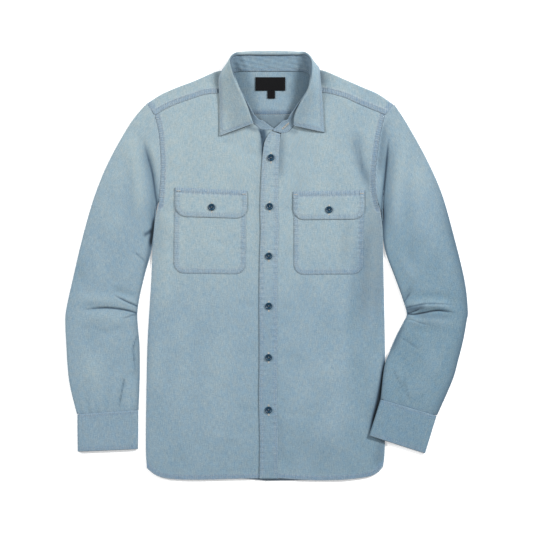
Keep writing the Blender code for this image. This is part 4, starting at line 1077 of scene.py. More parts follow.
# %% The folds of the sleeves
SLEEVE_FOLDS_RIGHT = [
    ([(-227, 239), (-214, 200), (-203, 150), (-200, 98), (-204, 65), (-208, 40)], -3.2, 5.0, 9.0),
    ([(-248, 240), (-238, 195), (-230, 140), (-228, 85)], 2.4, 10.0, 10.0),
    ([(-212, 232), (-203, 200), (-196, 160), (-194, 130)], 1.2, 5.0, 4.0),
    ([(-262, 190), (-268, 110), (-276, 40)], 1.3, 13.0, 13.0),
    ([(-345, -74), (-288, -76), (-228, -86)], -1.1, 5.0, 5.0),
    ([(-345, -60), (-288, -61), (-232, -68)], 1.3, 7.0, 7.0),
    ([(-345, -96), (-290, -92), (-235, -100)], 1.2, 8.0, 8.0),
    ([(-276, -40), (-252, -50), (-230, -56)], -1.3, 5.0, 5.0),
    ([(-240, -125), (-239, -165), (-239, -215)], -1.6, 6.0, 6.0),
    ([(-253, -190), (-262, -225), (-268, -264)], -1.4, 4.5, 4.5),
    ([(-300, -150), (-306, -200), (-303, -262)], 1.1, 12.0, 12.0),
    ([(-242, 180), (-246, 120), (-240, 62)], -0.9, 6.0, 9.0),
    ([(-300, 150), (-292, 90), (-272, 20)], 0.8, 7.0, 12.0),
    ([(-318, 60), (-304, 10), (-296, -40)], 0.8, 9.0, 6.0),
    ([(-336, 10), (-330, -30), (-318, -56)], -0.7, 5.0, 7.0),
    ([(-232, 30), (-240, -2), (-262, -34)], 0.9, 5.0, 8.0),
    ([(-336, -128), (-322, -165), (-316, -214)], 0.7, 7.0, 10.0),
    ([(-318, -112), (-284, -118), (-252, -110)], -0.9, 4.0, 7.0),
    ([(-280, -214), (-286, -240), (-288, -264)], -0.8, 4.0, 5.0),
    ([(-322, -222), (-320, -244), (-322, -264)], -0.6, 4.0, 5.0),
    ([(-250, -236), (-246, -250), (-244, -263)], 0.7, 4.0, 5.0),
]
SLEEVE_FOLDS_LEFT = [
    ([(222, 240), (216, 173), (211, 110), (210, 60), (212, 36)], -3.2, 8.0, 5.0),
    ([(243, 230), (238, 170), (231, 110), (230, 60)], 2.4, 9.0, 9.0),
    ([(212, 262), (207, 225), (204, 180), (203, 140)], -1.4, 5.0, 4.0),
    ([(268, 200), (276, 110), (284, 30)], 1.3, 13.0, 13.0),
    ([(250, -88), (274, -87), (304, -80), (342, -90)], -2.6, 5.0, 5.0),
    ([(250, -74), (290, -71), (336, -74)], 2.6, 6.5, 6.5),
    ([(250, -101), (290, -97), (338, -106)], 2.2, 7.5, 7.5),
    ([(262, -56), (300, -54), (346, -62)], -1.3, 5.5, 5.5),
    ([(268, -122), (250, -160), (240, -196)], -1.4, 7.0, 7.0),
    ([(300, -140), (290, -190), (268, -250)], 1.3, 12.0, 12.0),
    ([(246, 170), (252, 110), (246, 50)], -0.9, 9.0, 6.0),
    ([(306, 130), (300, 70), (290, 0)], 0.8, 12.0, 7.0),
    ([(330, 60), (322, 10), (318, -40)], 0.8, 6.0, 9.0),
    ([(238, 30), (252, -4), (276, -32)], 0.9, 8.0, 5.0),
    ([(330, -118), (318, -160), (298, -206)], 0.8, 10.0, 7.0),
    ([(330, -150), (316, -190), (300, -226)], -0.6, 6.0, 5.0),
    ([(256, -112), (284, -118), (316, -112)], -0.5, 7.0, 4.0),
    ([(252, -206), (240, -226), (232, -246)], -0.9, 4.0, 5.0),
    ([(284, -224), (274, -242), (268, -256)], -0.8, 5.0, 4.0),
]
print(len(SLEEVE_FOLDS_RIGHT), "and", len(SLEEVE_FOLDS_LEFT), "folds on the sleeves")

# %% The sharp creases at the elbows and the armpits
# Each starts where it dies out and ends at the edge where the cloth is pinched.
SLEEVE_CREASES = {
    "right": [([(-333, -79), (-318, -77), (-288, -75), (-258, -78), (-233, -84)], 2.2, 1.0, 7.0),
              ([(-274, -52), (-258, -60), (-246, -66), (-231, -72)], 2.0, 0.9, 6.0),
              ([(-262, -94), (-250, -92), (-240, -88), (-232, -87)], 0.9, 0.5, 4.0),
              ([(-236, -200), (-238, -170), (-240, -150), (-234, -128)], 0.8, 0.6, 8.0),
              ([(-266, -262), (-262, -236), (-256, -205)], 1.1, 0.7, 7.0),
              ([(-223, 232), (-206, 171), (-200, 131), (-197, 112), (-199, 92)], 1.1, -0.4, 6.0),
              ([(-246, 30), (-232, 22), (-220, 12)], 0.8, 0.5, 7.0)],
    "left": [([(343, -85), (322, -82), (306, -81), (283, -85), (265, -88), (252, -86)], 2.8, 1.3, 7.0),
             ([(279, -74), (272, -80), (262, -84), (252, -85)], 1.8, 1.0, 5.0),
             ([(347, -71), (314, -69), (285, -69), (265, -73), (248, -76)], 1.2, 0.8, 7.0),
             ([(300, -108), (280, -104), (262, -98), (248, -97)], 0.7, 0.5, 4.0),
             ([(262, -46), (255, -56), (248, -66)], 1.3, 0.7, 6.0),
             ([(240, -48), (244, -58), (247, -70)], 1.2, 0.6, 5.0),
             ([(224, -175), (236, -200), (248, -222), (257, -238)], 0.9, 0.7, 9.0),
             ([(278, -154), (262, -142), (246, -132)], 0.8, 0.6, 8.0),
             ([(222, 240), (216, 173), (211, 120), (210, 84)], 2.2, 0.6, 6.0),
             ([(262, -250), (254, -228), (246, -206)], 0.9, 0.6, 6.0)],
}
print(sum(len(rows) for rows in SLEEVE_CREASES.values()), "sharp creases on the sleeves")


# %% A pressed tube
# A sleeve's rows of points stand closer together round its elbow: the shares of its rows
# by which these places in its table are reached.
ELBOW_SHARES, ELBOW_PLACES = [0.29, 0.80], [4.3, 8.2]


def on_table(plan):
    """The right sleeve's underside lies on the table."""
    return np.zeros(plan.shape[:-1])


def over_body(plan):
    """The left sleeve's underside climbs over the body's edge below the elbow."""
    x, y = plan[..., 0], plan[..., 1]
    edge = x_on(SIDE_LEFT, y)
    held = np.stack([np.minimum(x, edge), y], -1)
    cleared = front_level(held) + CLOTH / 2 + 0.5
    return cleared * ease(edge - x, -26, -1) * ease(-y, 140, 190)


def unit(vectors):
    """Vectors of length 1 in the same directions."""
    return vectors / np.linalg.norm(vectors, axis=-1, keepdims=True)


def pressed_tube(stations, spans, seam, cloth, loft, table, lift, tops, floors):
    """A grid of closed sections: over the top, round the inner fold, back underneath."""
    rows = np.array([(*outer, *inner) for outer, inner in stations], float)
    places = np.linspace(0, len(rows) - 1, spans + 1)
    if len(table):
        places = np.interp(np.linspace(0, 1, spans + 1), [0, *ELBOW_SHARES, 1],
                           [0, *ELBOW_PLACES, len(rows) - 1])
    step = 0.02 * (len(rows) - 1)
    edges = smooth(rows, places)
    run = smooth(rows, places + step) - smooth(rows, places - step)
    hand = 1.0 if edges[0, 0] < edges[0, 2] else -1.0
    out = unit(np.column_stack([hand * run[:, 1], -hand * run[:, 0]]))
    back = unit(np.column_stack([-hand * run[:, 3], hand * run[:, 2]]))
    inset = cloth / 2 + FOLD_RADIUS
    start, end = edges[:, :2] - out * inset, edges[:, 2:] - back * inset
    bowed = np.vstack([start[:1], *seam[1:-1], end[:1]])
    fade = ((1 - np.linspace(0, 1, spans + 1)) ** 5)[:, None, None]

    def line(shares):
        spot = start[:, None] * (1 - shares[None, :, None]) + end[:, None] * shares[None, :, None]
        chord = start[0] + (end[0] - start[0]) * shares[:, None]
        return spot + fade * (along_line(bowed, shares) - chord)[None]

    shares = np.linspace(0, 1, tops)
    over = line(shares)
    floor = lift(over) + cloth / 2
    crown = loft * (4 * shares * (1 - shares)) ** 0.6
    top = floor + 2 * FOLD_RADIUS + crown + folds(over, table)
    top = np.maximum(top, floor + cloth + 0.8)
    under = line(np.linspace(1, 0, floors))
    under_up = lift(under) + cloth / 2
    grid = [np.dstack([over, top])]
    for centre, way, low, high, turns in (
            (over[:, -1], back, under_up[:, 0], top[:, -1], (60, 30, 0, -30, -60)),
            (over[:, 0], out, under_up[:, -1], top[:, 0], (-60, -30, 0, 30, 60))):
        angles = np.radians(turns)[None]
        spots = centre[:, None] + way[:, None] * (FOLD_RADIUS * np.cos(angles))[..., None]
        up = low[:, None] + (high - low)[:, None] / 2 * (1 + np.sin(angles))
        grid.append(np.dstack([spots, up]))
    return np.concatenate([grid[0], grid[1], np.dstack([under, under_up]), grid[2]], axis=1)


# %% Sew the sleeves
SLEEVE_TOPS, SLEEVE_FLOORS, SLEEVE_SPANS = 58, 12, 230
SLEEVE_LOFT = 1.6
# Painted shade on the sleeves, in creases and folds: line, share, width on each side.
SLEEVE_SHADE = {
    "right": [([(-223, 232), (-207, 171), (-200, 131), (-197, 108), (-202, 76), (-206, 40)],
               0.12, 3.0, 13.0),
              ([(-198, 112), (-199, 90), (-203, 66), (-207, 45), (-215, 6), (-222, -30)],
               0.6, 2.6, 3.0),
              ([(-197, 92), (-199.5, 78), (-202, 62), (-205, 48), (-208, 32)], 2.2, 3.2, 3.4),
              ([(-222, 54), (-212, 60), (-202, 67)], 1.2, 2.2, 2.2)],
    "left": [([(216, 268), (211, 228), (206, 190), (203, 160)], 0.45, 4.5, 6.0),
             ([(223, 240), (219, 215), (216, 164), (212, 137), (211, 97), (211, 40)], 0.26, 13.0, 4.0),
             ([(212, 120), (211, 90), (211, 60), (212, 30), (219, 0)], 0.9, 3.5, 3.0),
             ([(290, -72), (270, -76), (248, -78)], 0.9, 3.5, 3.5),
             ([(247, -100), (238, -126), (224, -158)], 0.45, 4.0, 3.0),
             ([(340, -92), (300, -90), (262, -90)], 0.45, 4.0, 4.0),
             ([(264, -34), (256, -48), (250, -62)], 0.35, 4.0, 4.0),
             ([(266, 60), (262, 30), (270, 0)], 0.14, 6.0, 6.0)],
}
# How much painted shade the outer fold gets at the shoulder and at the cuff, and the inner fold.
EDGES_SHADE = {"right": (0.0, 0.10, 0.50), "left": (0.15, 0.75, 0.45)}


def how_far_across(over):
    """How far each point of a tube's top lies from its outer fold."""
    wide = np.linalg.norm(over[:, -1] - over[:, 0], axis=1)[:, None]
    return np.linspace(0, 1, over.shape[1])[None] * wide


def held_at_folds(count, share):
    """0 at both folds of a tube's top, and 1 from that share of the way across."""
    return ease(np.linspace(0, 1, count), 0, share) * ease(np.linspace(1, 0, count), 0, share)


def where_seen(grid, values):
    """The given values for a grid's first columns, which show, and 0 for its others."""
    shown = np.zeros(grid.shape[:2])
    shown[:, :values.shape[1]] = values
    return shown


for side, stations, armhole, tip, table, lift in (
        ("right", SLEEVE_RIGHT, ARMHOLE_RIGHT, SHOULDER_RIGHT[0], SLEEVE_FOLDS_RIGHT, on_table),
        ("left", SLEEVE_LEFT, ARMHOLE_LEFT, SHOULDER_LEFT[-1], SLEEVE_FOLDS_LEFT, over_body)):
    shift = -0.7 if side == "right" else 0.7
    seam = np.vstack([[tip], evenly(armhole, 60)[::-1]]) + [shift, 0.0]
    grid = pressed_tube(stations, SLEEVE_SPANS, seam, CLOTH, SLEEVE_LOFT, table, lift,
                        SLEEVE_TOPS, SLEEVE_FLOORS)
    over = grid[:, :SLEEVE_TOPS]
    from_arm = np.cumsum(np.linalg.norm(np.diff(grid, axis=0, prepend=grid[:1]), axis=2), 0)
    from_cuff = from_arm[-1:] - from_arm
    across = how_far_across(over)
    gathers = puckers(from_cuff[:, :SLEEVE_TOPS], across, 0.55, 26, 15.0, 0.8)
    relief = waves(over[..., :2], 0.30, 21 if side == "right" else 22)
    relief += puckers(from_arm[:, :SLEEVE_TOPS], across, 0.45, 9, 11.0, 1.9) + gathers
    pinched = creases(over[..., :2], SLEEVE_CREASES[side])
    relief += pinched
    hollow = np.clip(folds(over[..., :2], table) + relief, -3.0, 2.5)
    ends = held_at_folds(SLEEVE_TOPS, 0.05)
    grid[:, :SLEEVE_TOPS, 2] += relief * ends
    # The first rows slip under the felled edge of the body.
    inward = unit(grid[0, :SLEEVE_TOPS, :2] - grid[3, :SLEEVE_TOPS, :2])
    slip = np.exp(-from_arm[:, :SLEEVE_TOPS] / 2.5) * ends
    sunk = front_level(grid[0, :SLEEVE_TOPS, :2]) - 0.5 - grid[0, :SLEEVE_TOPS, 2]
    grid[:, :SLEEVE_TOPS, :2] += 1.8 * slip[..., None] * inward[None]
    grid[:, :SLEEVE_TOPS, 2] += np.minimum(sunk, 0) * np.exp(-from_arm[:, :SLEEVE_TOPS] / 4) * ends
    # The last rows slip into the cuff in the same way.
    onward = unit(grid[-1, :SLEEVE_TOPS, :2] - grid[-4, :SLEEVE_TOPS, :2])
    slip = np.exp(-from_cuff[:, :SLEEVE_TOPS] / 2.5) * ends
    grid[:, :SLEEVE_TOPS, :2] += 2.0 * slip[..., None] * onward[None]
    grid[:, :SLEEVE_TOPS, 2] -= 1.2 * np.exp(-from_cuff[:, :SLEEVE_TOPS] / 5) * ends
    depth = sleeve_depth(grid[..., :2])
    # Painted shade in the hollows of the folds and painted light on their ridges.
    depth[:, :SLEEVE_TOPS] -= 0.11 * hollow
    high_shade, low_shade, inner_shade = EDGES_SHADE[side]
    outer_shade = high_shade + (low_shade - high_shade) * ease(grid[:, :1, 1], 190, 60)
    wear_and_shade = 0.35 * ease(from_arm, 5, 2)
    # Painted shade along both folds of the tube, in the sharp creases and deep hollows, and along the
    # sleeve's shade lines.
    wear_and_shade[:, SLEEVE_TOPS:SLEEVE_TOPS + 5] -= inner_shade
    wear_and_shade[:, -5:] -= outer_shade
    rolled = outer_shade * np.exp(-across / 7) + inner_shade * np.exp(-(across[:, -1:] - across) / 3)
    wear_and_shade[:, :SLEEVE_TOPS] -= np.clip(-pinched / 1.6, 0, 1) + 0.12 * np.clip(-hollow - 1, 0, 2)
    wear_and_shade[:, :SLEEVE_TOPS] -= rolled + folds(over[..., :2], SLEEVE_SHADE[side])
    seam_mark = 0.3 * ease(from_arm, 6, 2) + 0.4 * ease(from_cuff, 5, 1)
    wash_and_shade = (depth, seam_mark, wear_and_shade, where_seen(grid, across))
    piece = sew("sleeve_" + side + "_cloth", grid, SHELL, CHAMBRAY, wash_and_shade, closed=True)
    dress(piece, "sleeve_" + side)

# %% [markdown]
# A cuff is two layers round a stiffener, so it stays flat and its edges are crisp. It is
# stitched all round, a foot's width in from the edge, and its ends lap underneath, where
# its button faces the table.

# %% Sew the cuffs
CUFF_PLY, CUFF_SHELL = 2.0, 1.7
CUFF_LOFT = 0.8
CUFF_TOPS, CUFF_FLOORS, CUFF_SPANS = 44, 12, 30
for side, stations, lift in (("right", CUFF_RIGHT, on_table), ("left", CUFF_LEFT, over_body)):
    grid = pressed_tube(stations, CUFF_SPANS, [], CUFF_PLY, CUFF_LOFT, [], lift,
                        CUFF_TOPS, CUFF_FLOORS)
    over = grid[:, :CUFF_TOPS]
    down = np.cumsum(np.linalg.norm(np.diff(over, axis=0, prepend=over[:1]), axis=2), 0)
    up = down[-1:] - down
    across = how_far_across(over)
    relief = puckers(down - 5, across, 0.22, 5, 7.5, 0.3) + puckers(up - 6, across, 0.22, 5, 7.5, 1.3)
    relief -= 0.3 * ease(up, 1.5, 0) + 0.25 * ease(down, 1.5, 0)
    relief += waves(over[..., :2], 0.18, 31)
    grid[:, :CUFF_TOPS, 2] += relief * held_at_folds(CUFF_TOPS, 0.06)
    depth = sleeve_depth(grid[..., :2]) + 0.06
    edge_mark = where_seen(grid, np.maximum(ease(up, 9, 6), ease(down, 8, 5)))
    wear_and_shade = where_seen(grid, 0.3 * ease(up, 2.5, 0.5) + 0.15 * ease(down, 2.2, 0.3))
    # Painted shade along the cuff's two folds.
    wear_and_shade[:, CUFF_TOPS:CUFF_TOPS + 5] = -0.2
    wear_and_shade[:, -5:] = -0.2
    wash_and_shade = (depth, 0.2 + 0.5 * edge_mark, wear_and_shade, where_seen(grid, across))
    piece = sew("cuff_" + side + "_cloth", grid, CUFF_SHELL, CHAMBRAY, wash_and_shade, closed=True)
    dress(piece, "cuff_" + side)
    normals = grid_normals(over)
    top = over + normals * CUFF_SHELL / 2
    rows = [(top[k, 2:-2], normals[k, 2:-2]) for k in (2, CUFF_SPANS - 3)]
    rows += [(top[3:-3, k], normals[3:-3, k]) for k in (3, CUFF_TOPS - 4)]
    stitch("stitches_cuff_" + side, rows)

# %% [markdown]
# ## The collar
# The collar has two parts. The stand is a band round the neck that laps at the front,
# where a button closes it. The leaf is sewn to the stand's top edge, rolls over it and
# falls to the shoulders, with its two points on the chest. As the shirt lies, the back of
# the leaf is tucked underneath. Each row of the table below is one section across the
# collar, from the wearer's right point round the neck to the left one.

# %% The collar's sections
# Roll (x, y, z), roll radius, heading of its outside, landing (x, y, z), how far the
# leaf is tucked under, the stand's foot (x, y, z), how far the stand shows.
COLLAR = [
    (-24.5, 255.5, 9.5, 1.6, 212, -83.5, 233.5, 6.5, 0, -22.0, 255.4, 4.7, 13),
    (-30.3, 270.0, 14.0, 2.2, 202, -83.8, 252.0, 6.6, 0, -36.6, 265.0, 4.8, 7),
    (-39.7, 294.3, 20.0, 3.0, 190, -83.8, 284.0, 6.9, 0, -50.0, 284.4, 4.9, 3),
    (-53.4, 324.4, 26.0, 3.6, 175, -84.6, 318.0, 7.8, 0, -61.4, 311.0, 5.2, 0),
    (-61.6, 351.4, 28.0, 3.2, 160, -84.5, 338.0, 8.6, 0, -63.4, 333.0, 5.4, 0),
    (-64.2, 369.4, 25.0, 1.8, 145, -75.0, 357.5, 5.0, 0, -60.8, 346.0, 5.2, 0),
    (-56.4, 379.3, 19.0, 2.5, 120, -58.5, 363.5, 0.9, 12, -48.0, 350.2, 4.6, 0),
    (-39.5, 382.3, 15.5, 2.9, 97, -38.0, 359.0, 0.8, 15, -30.0, 350.3, 4.4, 0),
    (8.0, 382.8, 14.0, 3.8, 90, 8.0, 358.0, 0.8, 15, 8.0, 350.2, 4.4, 0),
    (54.5, 382.3, 15.5, 2.9, 83, 53.0, 359.0, 0.8, 15, 46.0, 350.3, 4.4, 0),
    (70.8, 381.0, 19.0, 2.5, 60, 75.0, 364.5, 0.9, 12, 64.0, 350.2, 4.6, 0),
    (81.2, 369.5, 25.0, 1.8, 36, 94.0, 358.0, 5.0, 0, 77.6, 346.0, 5.2, 0),
    (82.4, 347.2, 28.0, 3.2, 20, 97.6, 338.0, 8.6, 0, 80.4, 333.0, 5.4, 0),
    (79.2, 319.4, 26.0, 3.4, 5, 99.8, 316.0, 7.8, 0, 79.0, 311.0, 5.2, 0),
    (63.4, 290.9, 20.0, 3.0, -8, 102.9, 282.0, 6.9, 0, 70.6, 284.8, 5.0, 3),
    (53.4, 269.2, 14.0, 2.2, -18, 104.4, 258.0, 6.6, 0, 57.4, 264.6, 5.0, 8),
    (51.4, 251.6, 10.0, 1.6, -42, 105.5, 239.9, 6.6, 0, 49.4, 251.6, 5.2, 16),
]
LEAF_ROWS, ROLL_POINTS, FALL_POINTS, TUCK_POINTS = 170, 9, 24, 4


def leaf_section(row):
    """Points across the leaf: round the roll, down to the landing, then tucked under."""
    roll, radius, heading = row[:3], row[3], math.radians(row[4])
    landing, tuck = row[5:8], max(row[8], 0.6)
    out = np.array([math.cos(heading), math.sin(heading), 0.0])
    up = np.array([0.0, 0.0, 1.0])
    centre = np.array([roll[0], roll[1], roll[2] - radius])
    end = np.array([landing[0], landing[1], max(landing[2], PLY / 2)])
    ahead, drop = float((end - centre) @ out), end[2] - centre[2]
    leaving = math.atan2(drop, ahead) + math.acos(radius / math.hypot(ahead, drop))
    turns = np.linspace(math.radians(165), leaving, ROLL_POINTS)[:, None]
    rolled = centre + radius * (np.cos(turns) * out + np.sin(turns) * up)
    shares = np.linspace(0, 1, FALL_POINTS + 1)[1:, None]
    fallen = rolled[-1] * (1 - shares) + end * shares
    fallen += 2.2 * float(ease(ahead, 0, 20)) * np.sin(math.pi * shares) * up
    tucked = end - out * tuck * np.linspace(0, 1, TUCK_POINTS + 1)[1:, None]
    return np.vstack([rolled, fallen, tucked])


collar_rows = smooth(COLLAR, np.linspace(0, len(COLLAR) - 1, LEAF_ROWS))
leaf = np.array([leaf_section(row) for row in collar_rows])
print("collar leaf:", leaf.shape[:2], "points")

# %% Soften the leaf, mark it and sew it
OUTER = ROLL_POINTS + FALL_POINTS
fallen = leaf[:, :OUTER]
from_edge = np.cumsum(np.linalg.norm(np.diff(fallen, axis=1, prepend=fallen[:, :1]), axis=2), 1)
from_edge = from_edge[:, -1:] - from_edge
rim = reach_of(leaf[:, OUTER - 1])
from_start, from_end = rim[:, None], (rim[-1] - rim)[:, None]
tips = np.minimum(from_start, from_end) + 0.0 * from_edge
inside = np.minimum(from_edge, tips)
wings = ease(np.abs(fallen[..., 1] - 400), 40, 75)
relief = puckers(inside - 6, rim[:, None] + from_edge, 0.30, 5, 9.5, 0.5) - 0.3 * ease(inside, 1.8, 0)
relief += 0.6 * np.sin(fallen[..., 1] / 13 + fallen[..., 0] / 29) * ease(from_edge, 2, 20)
leaf[:, :OUTER, 2] += relief * wings * ease(np.arange(OUTER)[None], ROLL_POINTS - 4, ROLL_POINTS + 4)
mark = where_seen(leaf, 0.7 * ease(inside, 9, 6))
on_roll = np.exp(-((np.arange(OUTER) - ROLL_POINTS * 0.55) / 3.0) ** 2)[None]
wear_and_shade = where_seen(leaf, 0.55 * ease(inside, 2.2, 0.4) + 0.15 * on_roll)
# The right half is paler; painted light makes it paler still towards its outer edge, and
# painted shade lies on its inner part. The two corners inside the back of the roll lie in
# painted shade, and so does the inner part of the left half.
right_share = ease(leaf[..., 0], 20, -40)
outward = ease(-leaf[..., 0], 52, 88)
depth = (0.34 - 0.22 * right_share) * ease(leaf[..., 1], 392, 372) - 0.12 * outward
wear_and_shade -= (0.16 - 0.30 * outward) * right_share * ease(leaf[..., 1], 385, 370)
roll_corner_shade = ease(np.abs(leaf[..., 0] - 8), 50, 64) * ease(leaf[..., 1], 328, 345)
wear_and_shade[:, :5] -= 0.9 * roll_corner_shade[:, :5]
wear_and_shade -= 0.12 * (1 - right_share) * ease(leaf[..., 0], 90, 60) * ease(leaf[..., 1], 385, 370)
wash_and_shade = (depth, mark, wear_and_shade, where_seen(leaf, rim[:, None] + from_edge))
collar = sew("collar_leaf_cloth", leaf, PLY_SHELL, CHAMBRAY, wash_and_shade, curled=True)
dress(collar, "collar_leaf")

normals = grid_normals(fallen)
top = leaf[:, :OUTER] + normals * 0.75


def leaf_line(inset, rows):
    """A line on the leaf that stays an inset inside its outer edge."""
    points, ups = [], []
    for k in rows:
        spots = [np.interp(-inset, -from_edge[k], column) for column in top[k].T]
        points.append(spots)
        ups.append([np.interp(-inset, -from_edge[k], column) for column in normals[k].T])
    return np.array(points), np.array(ups)


STITCH_INSET = 6.2
rows = [leaf_line(STITCH_INSET, range(4, 66)),
        leaf_line(STITCH_INSET, range(LEAF_ROWS - 67, LEAF_ROWS - 4))]
start = int(np.searchsorted(rim, STITCH_INSET))
last = len(rim) - 1 - int(np.searchsorted(rim[-1] - rim[::-1], STITCH_INSET))
for k in (start, last):
    keep = slice(ROLL_POINTS, OUTER - 3)
    rows.append((top[k, keep], normals[k, keep]))
stitch("stitches_collar", rows)

# %% The stand, with its two lapped ends
STAND_END_RIGHT = [((20.5, 243.8, 4.7), (21.5, 246.6, 4.7)),
                   ((10.0, 244.6, 4.7), (11.9, 249.0, 4.7)),
                   ((-0.5, 244.8, 4.7), (1.0, 257.0, 4.9)),
                   ((-11.0, 246.8, 4.7), (-6.0, 261.8, 5.2))]
STAND_END_LEFT = [((40.2, 242.0, 5.6), (31.6, 261.6, 6.0)),
                  ((30.0, 239.0, 6.3), (26.4, 257.4, 6.5)),
                  ((20.5, 240.8, 6.9), (20.0, 251.8, 6.9)),
                  ((13.4, 243.4, 6.9), (14.0, 246.6, 6.9))]
pairs = [(*foot, *top_edge) for foot, top_edge in STAND_END_RIGHT]
for row in COLLAR:
    heading = math.radians(row[4])
    back_off = row[3] + row[12]
    level = row[2] - row[3] - 1.3 - 0.9 * min(row[12], 1)
    pairs.append((*row[9:12], row[0] - math.cos(heading) * back_off,
                  row[1] - math.sin(heading) * back_off, level))
pairs += [(*foot, *top_edge) for foot, top_edge in STAND_END_LEFT]
band = smooth(pairs, np.linspace(0, len(pairs) - 1, 200))
shares = np.linspace(0, 1, 13)[None, :, None]
stand = band[:, None, :3] * (1 - shares) + band[:, None, 3:] * shares
reach = reach_of(band[:, :3])
width = np.linalg.norm(band[:, 3:] - band[:, :3], axis=1)[:, None]
from_foot = width * shares[..., 0]
from_top = width - from_foot
stand[..., 2] += puckers(from_foot - 3, reach[:, None] + 0 * from_foot, 0.15, 4, 8.0, 0.9)
end_mark = np.minimum(reach, reach[-1] - reach)[:, None] + 0 * from_foot
inside = np.minimum(np.minimum(from_foot, from_top), end_mark)
behind = ease(stand[..., 1], 300, 350)
x, y = stand[..., 0], stand[..., 1]
crumple = np.sin(x / 3.3 + y / 2.1) * np.sin(x / 7.9 - y / 3.7)
stand[..., 2] += 1.1 * crumple * behind * ease(inside, 0, 4)
ends = ease(y, 262, 245)
# Painted shade on the stand: over its front parts, most up the sides away from the lapped ends, inside
# the back towards its sides, and in the hollows of its crumple.
painted_shade = (0.10 + 0.30 * (1 - ends)) * (1 - behind) + 0.45 * behind * ease(np.abs(x - 8), 40, 64)
painted_shade += 0.16 * behind * ease(crumple, 0.1, -0.7)
wash_and_shade = (0.45 + 0.20 * behind, 0.2 + 0.5 * ease(inside, 6, 4), 0.4 * ease(inside, 1.8, 0.3) - painted_shade,
        reach[:, None] + 0 * from_foot)
STAND_SHELL = 1.3
stand_piece = sew("collar_stand_cloth", stand, STAND_SHELL, CHAMBRAY, wash_and_shade)
dress(stand_piece, "collar_stand")
normals = grid_normals(stand)
top = stand + normals * 0.7
rows = [(top[4:-4, 2], normals[4:-4, 2])]
rows += [(top[3:30, 10], normals[3:30, 10]), (top[-30:-3, 10], normals[-30:-3, 10])]
stitch("stitches_stand", rows)

# %% [markdown]
# ## The pockets and their flaps
# A patch pocket is a square of cloth with its edges turned in and its lower corners
# rounded, sewn on with two rows. Over its mouth hangs a flap with the same corners. The
# turned edges are three layers thick, so they stand up, keep their colour in the valleys
# and wear white on the ridges. The middle of the pocket is one layer and puffs slightly.

# %% Outlines with round lower corners
# Upper left, upper right, lower left and lower right corner, and the corners' radius.
POCKET_RIGHT = [(-164.5, 137.0), (-36.0, 133.0), (-166.1, -13.0), (-36.7, -14.5), 19.0]
POCKET_LEFT = [(49.9, 130.5), (175.9, 133.0), (49.9, -15.8), (175.0, -14.2), 19.0]
FLAP_RIGHT = [(-163.5, 141.3), (-34.5, 135.5), (-163.0, 89.5), (-34.2, 85.7), 20.0]
FLAP_LEFT = [(48.6, 133.6), (177.1, 136.3), (49.2, 83.3), (176.8, 84.5), 20.0]


FLAP_SHELL = 1.1


def rounded_grid(corners, down_points, turn_points, across_points):
    """Plan rows from the top edge down, narrower round the two lower corners."""
    top_left, top_right, low_left, low_right = [np.array(c) for c in corners[:4]]
    radius = corners[4]
    tall, wide = np.linalg.norm(top_left - low_left), np.linalg.norm(low_left - low_right)
    turns = np.linspace(0, math.pi / 2, turn_points)
    straight = np.linspace(0, 1 - radius / tall, down_points, endpoint=False)
    down = np.concatenate([straight, 1 - radius / tall * (1 - np.sin(turns))])[:, None]
    inset = np.concatenate([0 * straight, radius / wide * (1 - np.cos(turns))])[:, None]
    left = top_left * (1 - down) + low_left * down
    right = top_right * (1 - down) + low_right * down
    start, end = left * (1 - inset) + right * inset, left * inset + right * (1 - inset)
    shares = np.linspace(0, 1, across_points)[None, :, None]
    return start[:, None] * (1 - shares) + end[:, None] * shares


def sewn_outline(plan):
    """The line down one side of a rounded grid, along its foot and up the other side."""
    line = np.vstack([plan[:, 0], plan[-1, 1:-1], plan[::-1, -1]])
    return along_line(line, np.linspace(0, 1, 160))


